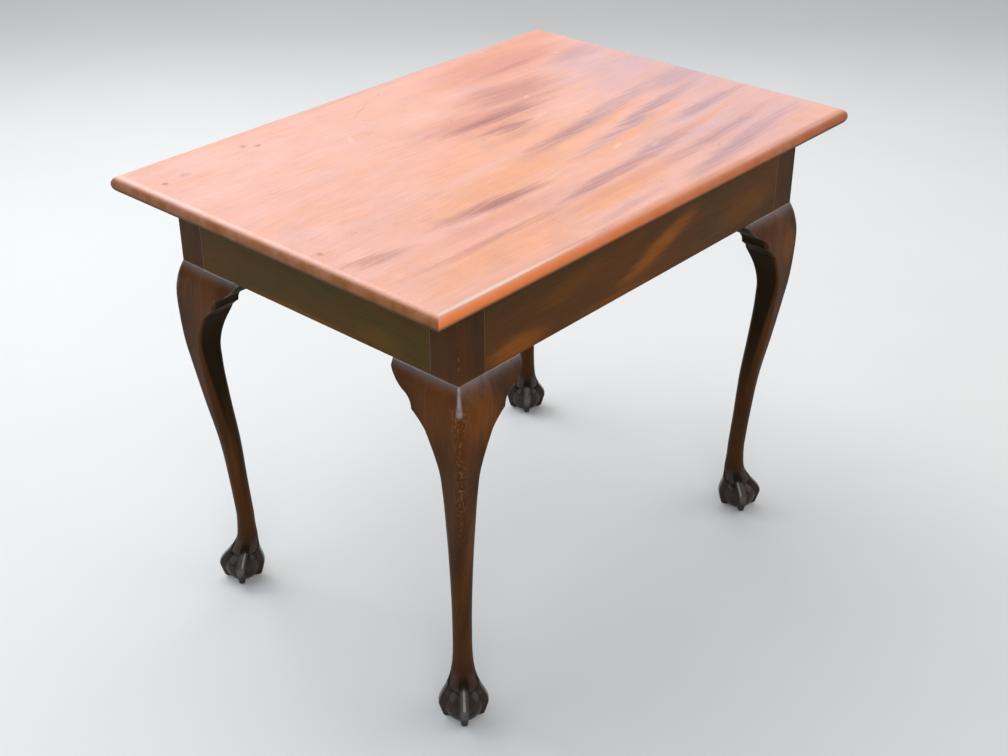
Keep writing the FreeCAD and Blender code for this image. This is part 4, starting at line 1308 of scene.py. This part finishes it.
class TEATABLE_OT_knee_blocks(bpy.types.Operator):
    """Builds the two knee blocks beside each leg"""
    bl_idname = "teatable.knee_blocks"
    bl_label = "Knee blocks"

    def execute(self, context):
        material = once("carved_wood", carved_wood, context.scene.tea_table_colours)
        for side, sheen in (("long", BLOCK_SHEEN), ("short", 0.0)):
            vertices, faces, marks = block_skin(context.scene.tea_table_sizes, sheen)
            if side == "short":
                vertices = vertices[:, (1, 0, 2)]
                faces = [part[:, ::-1] for part in faces]
            for corner, signs in CORNERS.items():
                placed, turned = at_corner(vertices, faces, signs)
                node = "knee_block_%s_%s" % (side, corner)
                make_piece("carved_" + node, placed, turned, material, node, marks)
        return {"FINISHED"}


class TEATABLE_OT_aprons(bpy.types.Operator):
    """Dresses the four aprons with the grain along each"""
    bl_idname = "teatable.aprons"
    bl_label = "Aprons"

    def execute(self, context):
        colours = context.scene.tea_table_colours
        long_wood = frame_wood("long_apron_wood", colours, colours.apron_brown, "XZY",
                               LONG_WARMTH, LONG_FIGURE)
        # Short aprons: olive ground and lesser warmth are a painted green reflection
        short_reflected_wood = frame_wood("short_apron_reflected_wood", colours, colours.apron_olive_reflection, "YZX",
                                SHORT_REFLECTED_WARMTH, SHORT_FIGURE)
        dress_nodes(("apron_front", "apron_back"), long_wood)
        dress_nodes(("apron_left", "apron_right"), short_reflected_wood)
        return {"FINISHED"}


class TEATABLE_OT_inner_pieces(bpy.types.Operator):
    """Dresses the corner blocks, buttons and screws inside the frame"""
    bl_idname = "teatable.inner_pieces"
    bl_label = "Inner pieces"

    def execute(self, context):
        colours = context.scene.tea_table_colours
        wooden = [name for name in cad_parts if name.startswith(("corner_block_", "button_"))]
        screws = ("corner_block_screws", "button_screws")
        dress_nodes([name for name in wooden if name not in screws], inner_wood(colours))
        dress_nodes(screws, screw_steel(colours))
        return {"FINISHED"}


def pale_floor(colours):
    """Finish of the floor: even pale grey with a faint mottle, seen and mirrored as it is, and a darker tone
    where it throws light back on the table."""
    material, tree, shader, place = new_material("pale_floor")
    mottle = remap(tree, noise(tree, place, 2.0), 0.3, 0.7)
    paler = [min(1.0, value * FLOOR_MOTTLE) for value in colours.floor]
    seen = mix_colour(tree, mottle, colours.floor, paler)
    path = tree.nodes.new("ShaderNodeLightPath").outputs
    direct = greater(tree, path["Is Camera Ray"], path["Is Glossy Ray"])
    direct = greater(tree, direct, path["Is Transmission Ray"])
    set_inputs(tree, shader, {
        "Base Color": mix_colour(tree, direct, colours.floor_bounce, seen),
        "Roughness": FLOOR_ROUGHNESS,
        "Specular IOR Level": FLOOR_SPECULAR,
    })
    return material


def area_light(name, place, aim, width, height, power, colour, mirrored):
    """Soft lamp at a place, turned to an aim, which polish mirrors or not."""
    lamp = bpy.data.lights.new(name, "AREA")
    lamp.shape = "RECTANGLE"
    lamp.size = width
    lamp.size_y = height
    lamp.energy = power
    lamp.color = colour
    holder = bpy.data.objects.new(name, lamp)
    holder.location = place
    holder.visible_glossy = mirrored
    toward = Vector(aim) - Vector(place)
    holder.rotation_euler = toward.to_track_quat("-Z", "Y").to_euler()
    bpy.context.scene.collection.objects.link(holder)


class TEATABLE_OT_stage(bpy.types.Operator):
    """Sets the pale floor, the soft light and the camera"""
    bl_idname = "teatable.stage"
    bl_label = "Stage"

    def execute(self, context):
        scene = context.scene
        mesh = bpy.data.meshes.new("floor")
        spread = np.array(((-1, -1, 0), (1, -1, 0), (1, 1, 0), (-1, 1, 0))) * FLOOR_HALF
        mesh.from_pydata(spread.tolist(), [], [(0, 1, 2, 3)])
        mesh.materials.append(pale_floor(scene.tea_table_colours))
        floor = bpy.data.objects.new("floor", mesh)
        scene.collection.objects.link(floor)

        world = bpy.data.worlds.new("soft_studio")
        world.use_nodes = True
        background = world.node_tree.nodes["Background"]
        background.inputs["Color"].default_value = STUDIO_COLOUR
        background.inputs["Strength"].default_value = STUDIO_STRENGTH
        scene.world = world
        for name, values in LAMPS.items():
            area_light(name, *values)

        lens = bpy.data.cameras.new("camera")
        lens.lens = CAMERA_LENS
        lens.sensor_width = CAMERA_SENSOR
        lens.sensor_fit = "HORIZONTAL"
        camera = bpy.data.objects.new("camera", lens)
        camera.location = CAMERA_PLACE
        camera.rotation_euler = (math.radians(90.0 - CAMERA_ELEVATION), 0.0, math.radians(CAMERA_AZIMUTH))
        scene.collection.objects.link(camera)
        scene.camera = camera
        scene.view_settings.view_transform = "Standard"
        return {"FINISHED"}


STEPS = (TEATABLE_OT_top_boards, TEATABLE_OT_legs, TEATABLE_OT_knee_blocks, TEATABLE_OT_aprons,
         TEATABLE_OT_inner_pieces, TEATABLE_OT_stage)


class TEATABLE_PT_build(bpy.types.Panel):
    """Lists the steps that build the table"""
    bl_label = "Tea table"
    bl_idname = "TEATABLE_PT_build"
    bl_space_type = "VIEW_3D"
    bl_region_type = "UI"
    bl_category = "Tea table"

    def draw(self, context):
        for step in STEPS:
            self.layout.operator(step.bl_idname)
        for group in (context.scene.tea_table_sizes, context.scene.tea_table_colours):
            for name in group.__annotations__:
                self.layout.prop(group, name)


CLASSES = (TeaTableSizes, TeaTableColours) + STEPS + (TEATABLE_PT_build,)


def register():
    """Registers the classes and hangs the sizes and colours on the scene."""
    for kind in CLASSES:
        bpy.utils.register_class(kind)
    bpy.types.Scene.tea_table_sizes = PointerProperty(type=TeaTableSizes)
    bpy.types.Scene.tea_table_colours = PointerProperty(type=TeaTableColours)


def unregister():
    """Takes the sizes and colours off the scene and removes the classes."""
    del bpy.types.Scene.tea_table_colours
    del bpy.types.Scene.tea_table_sizes
    for kind in reversed(CLASSES):
        bpy.utils.unregister_class(kind)


def main():
    """Builds the table and its stage."""
    register()
    for step in STEPS:
        family, name = step.bl_idname.split(".")
        getattr(getattr(bpy.ops, family), name)()


if __name__ == "__main__":
    main()
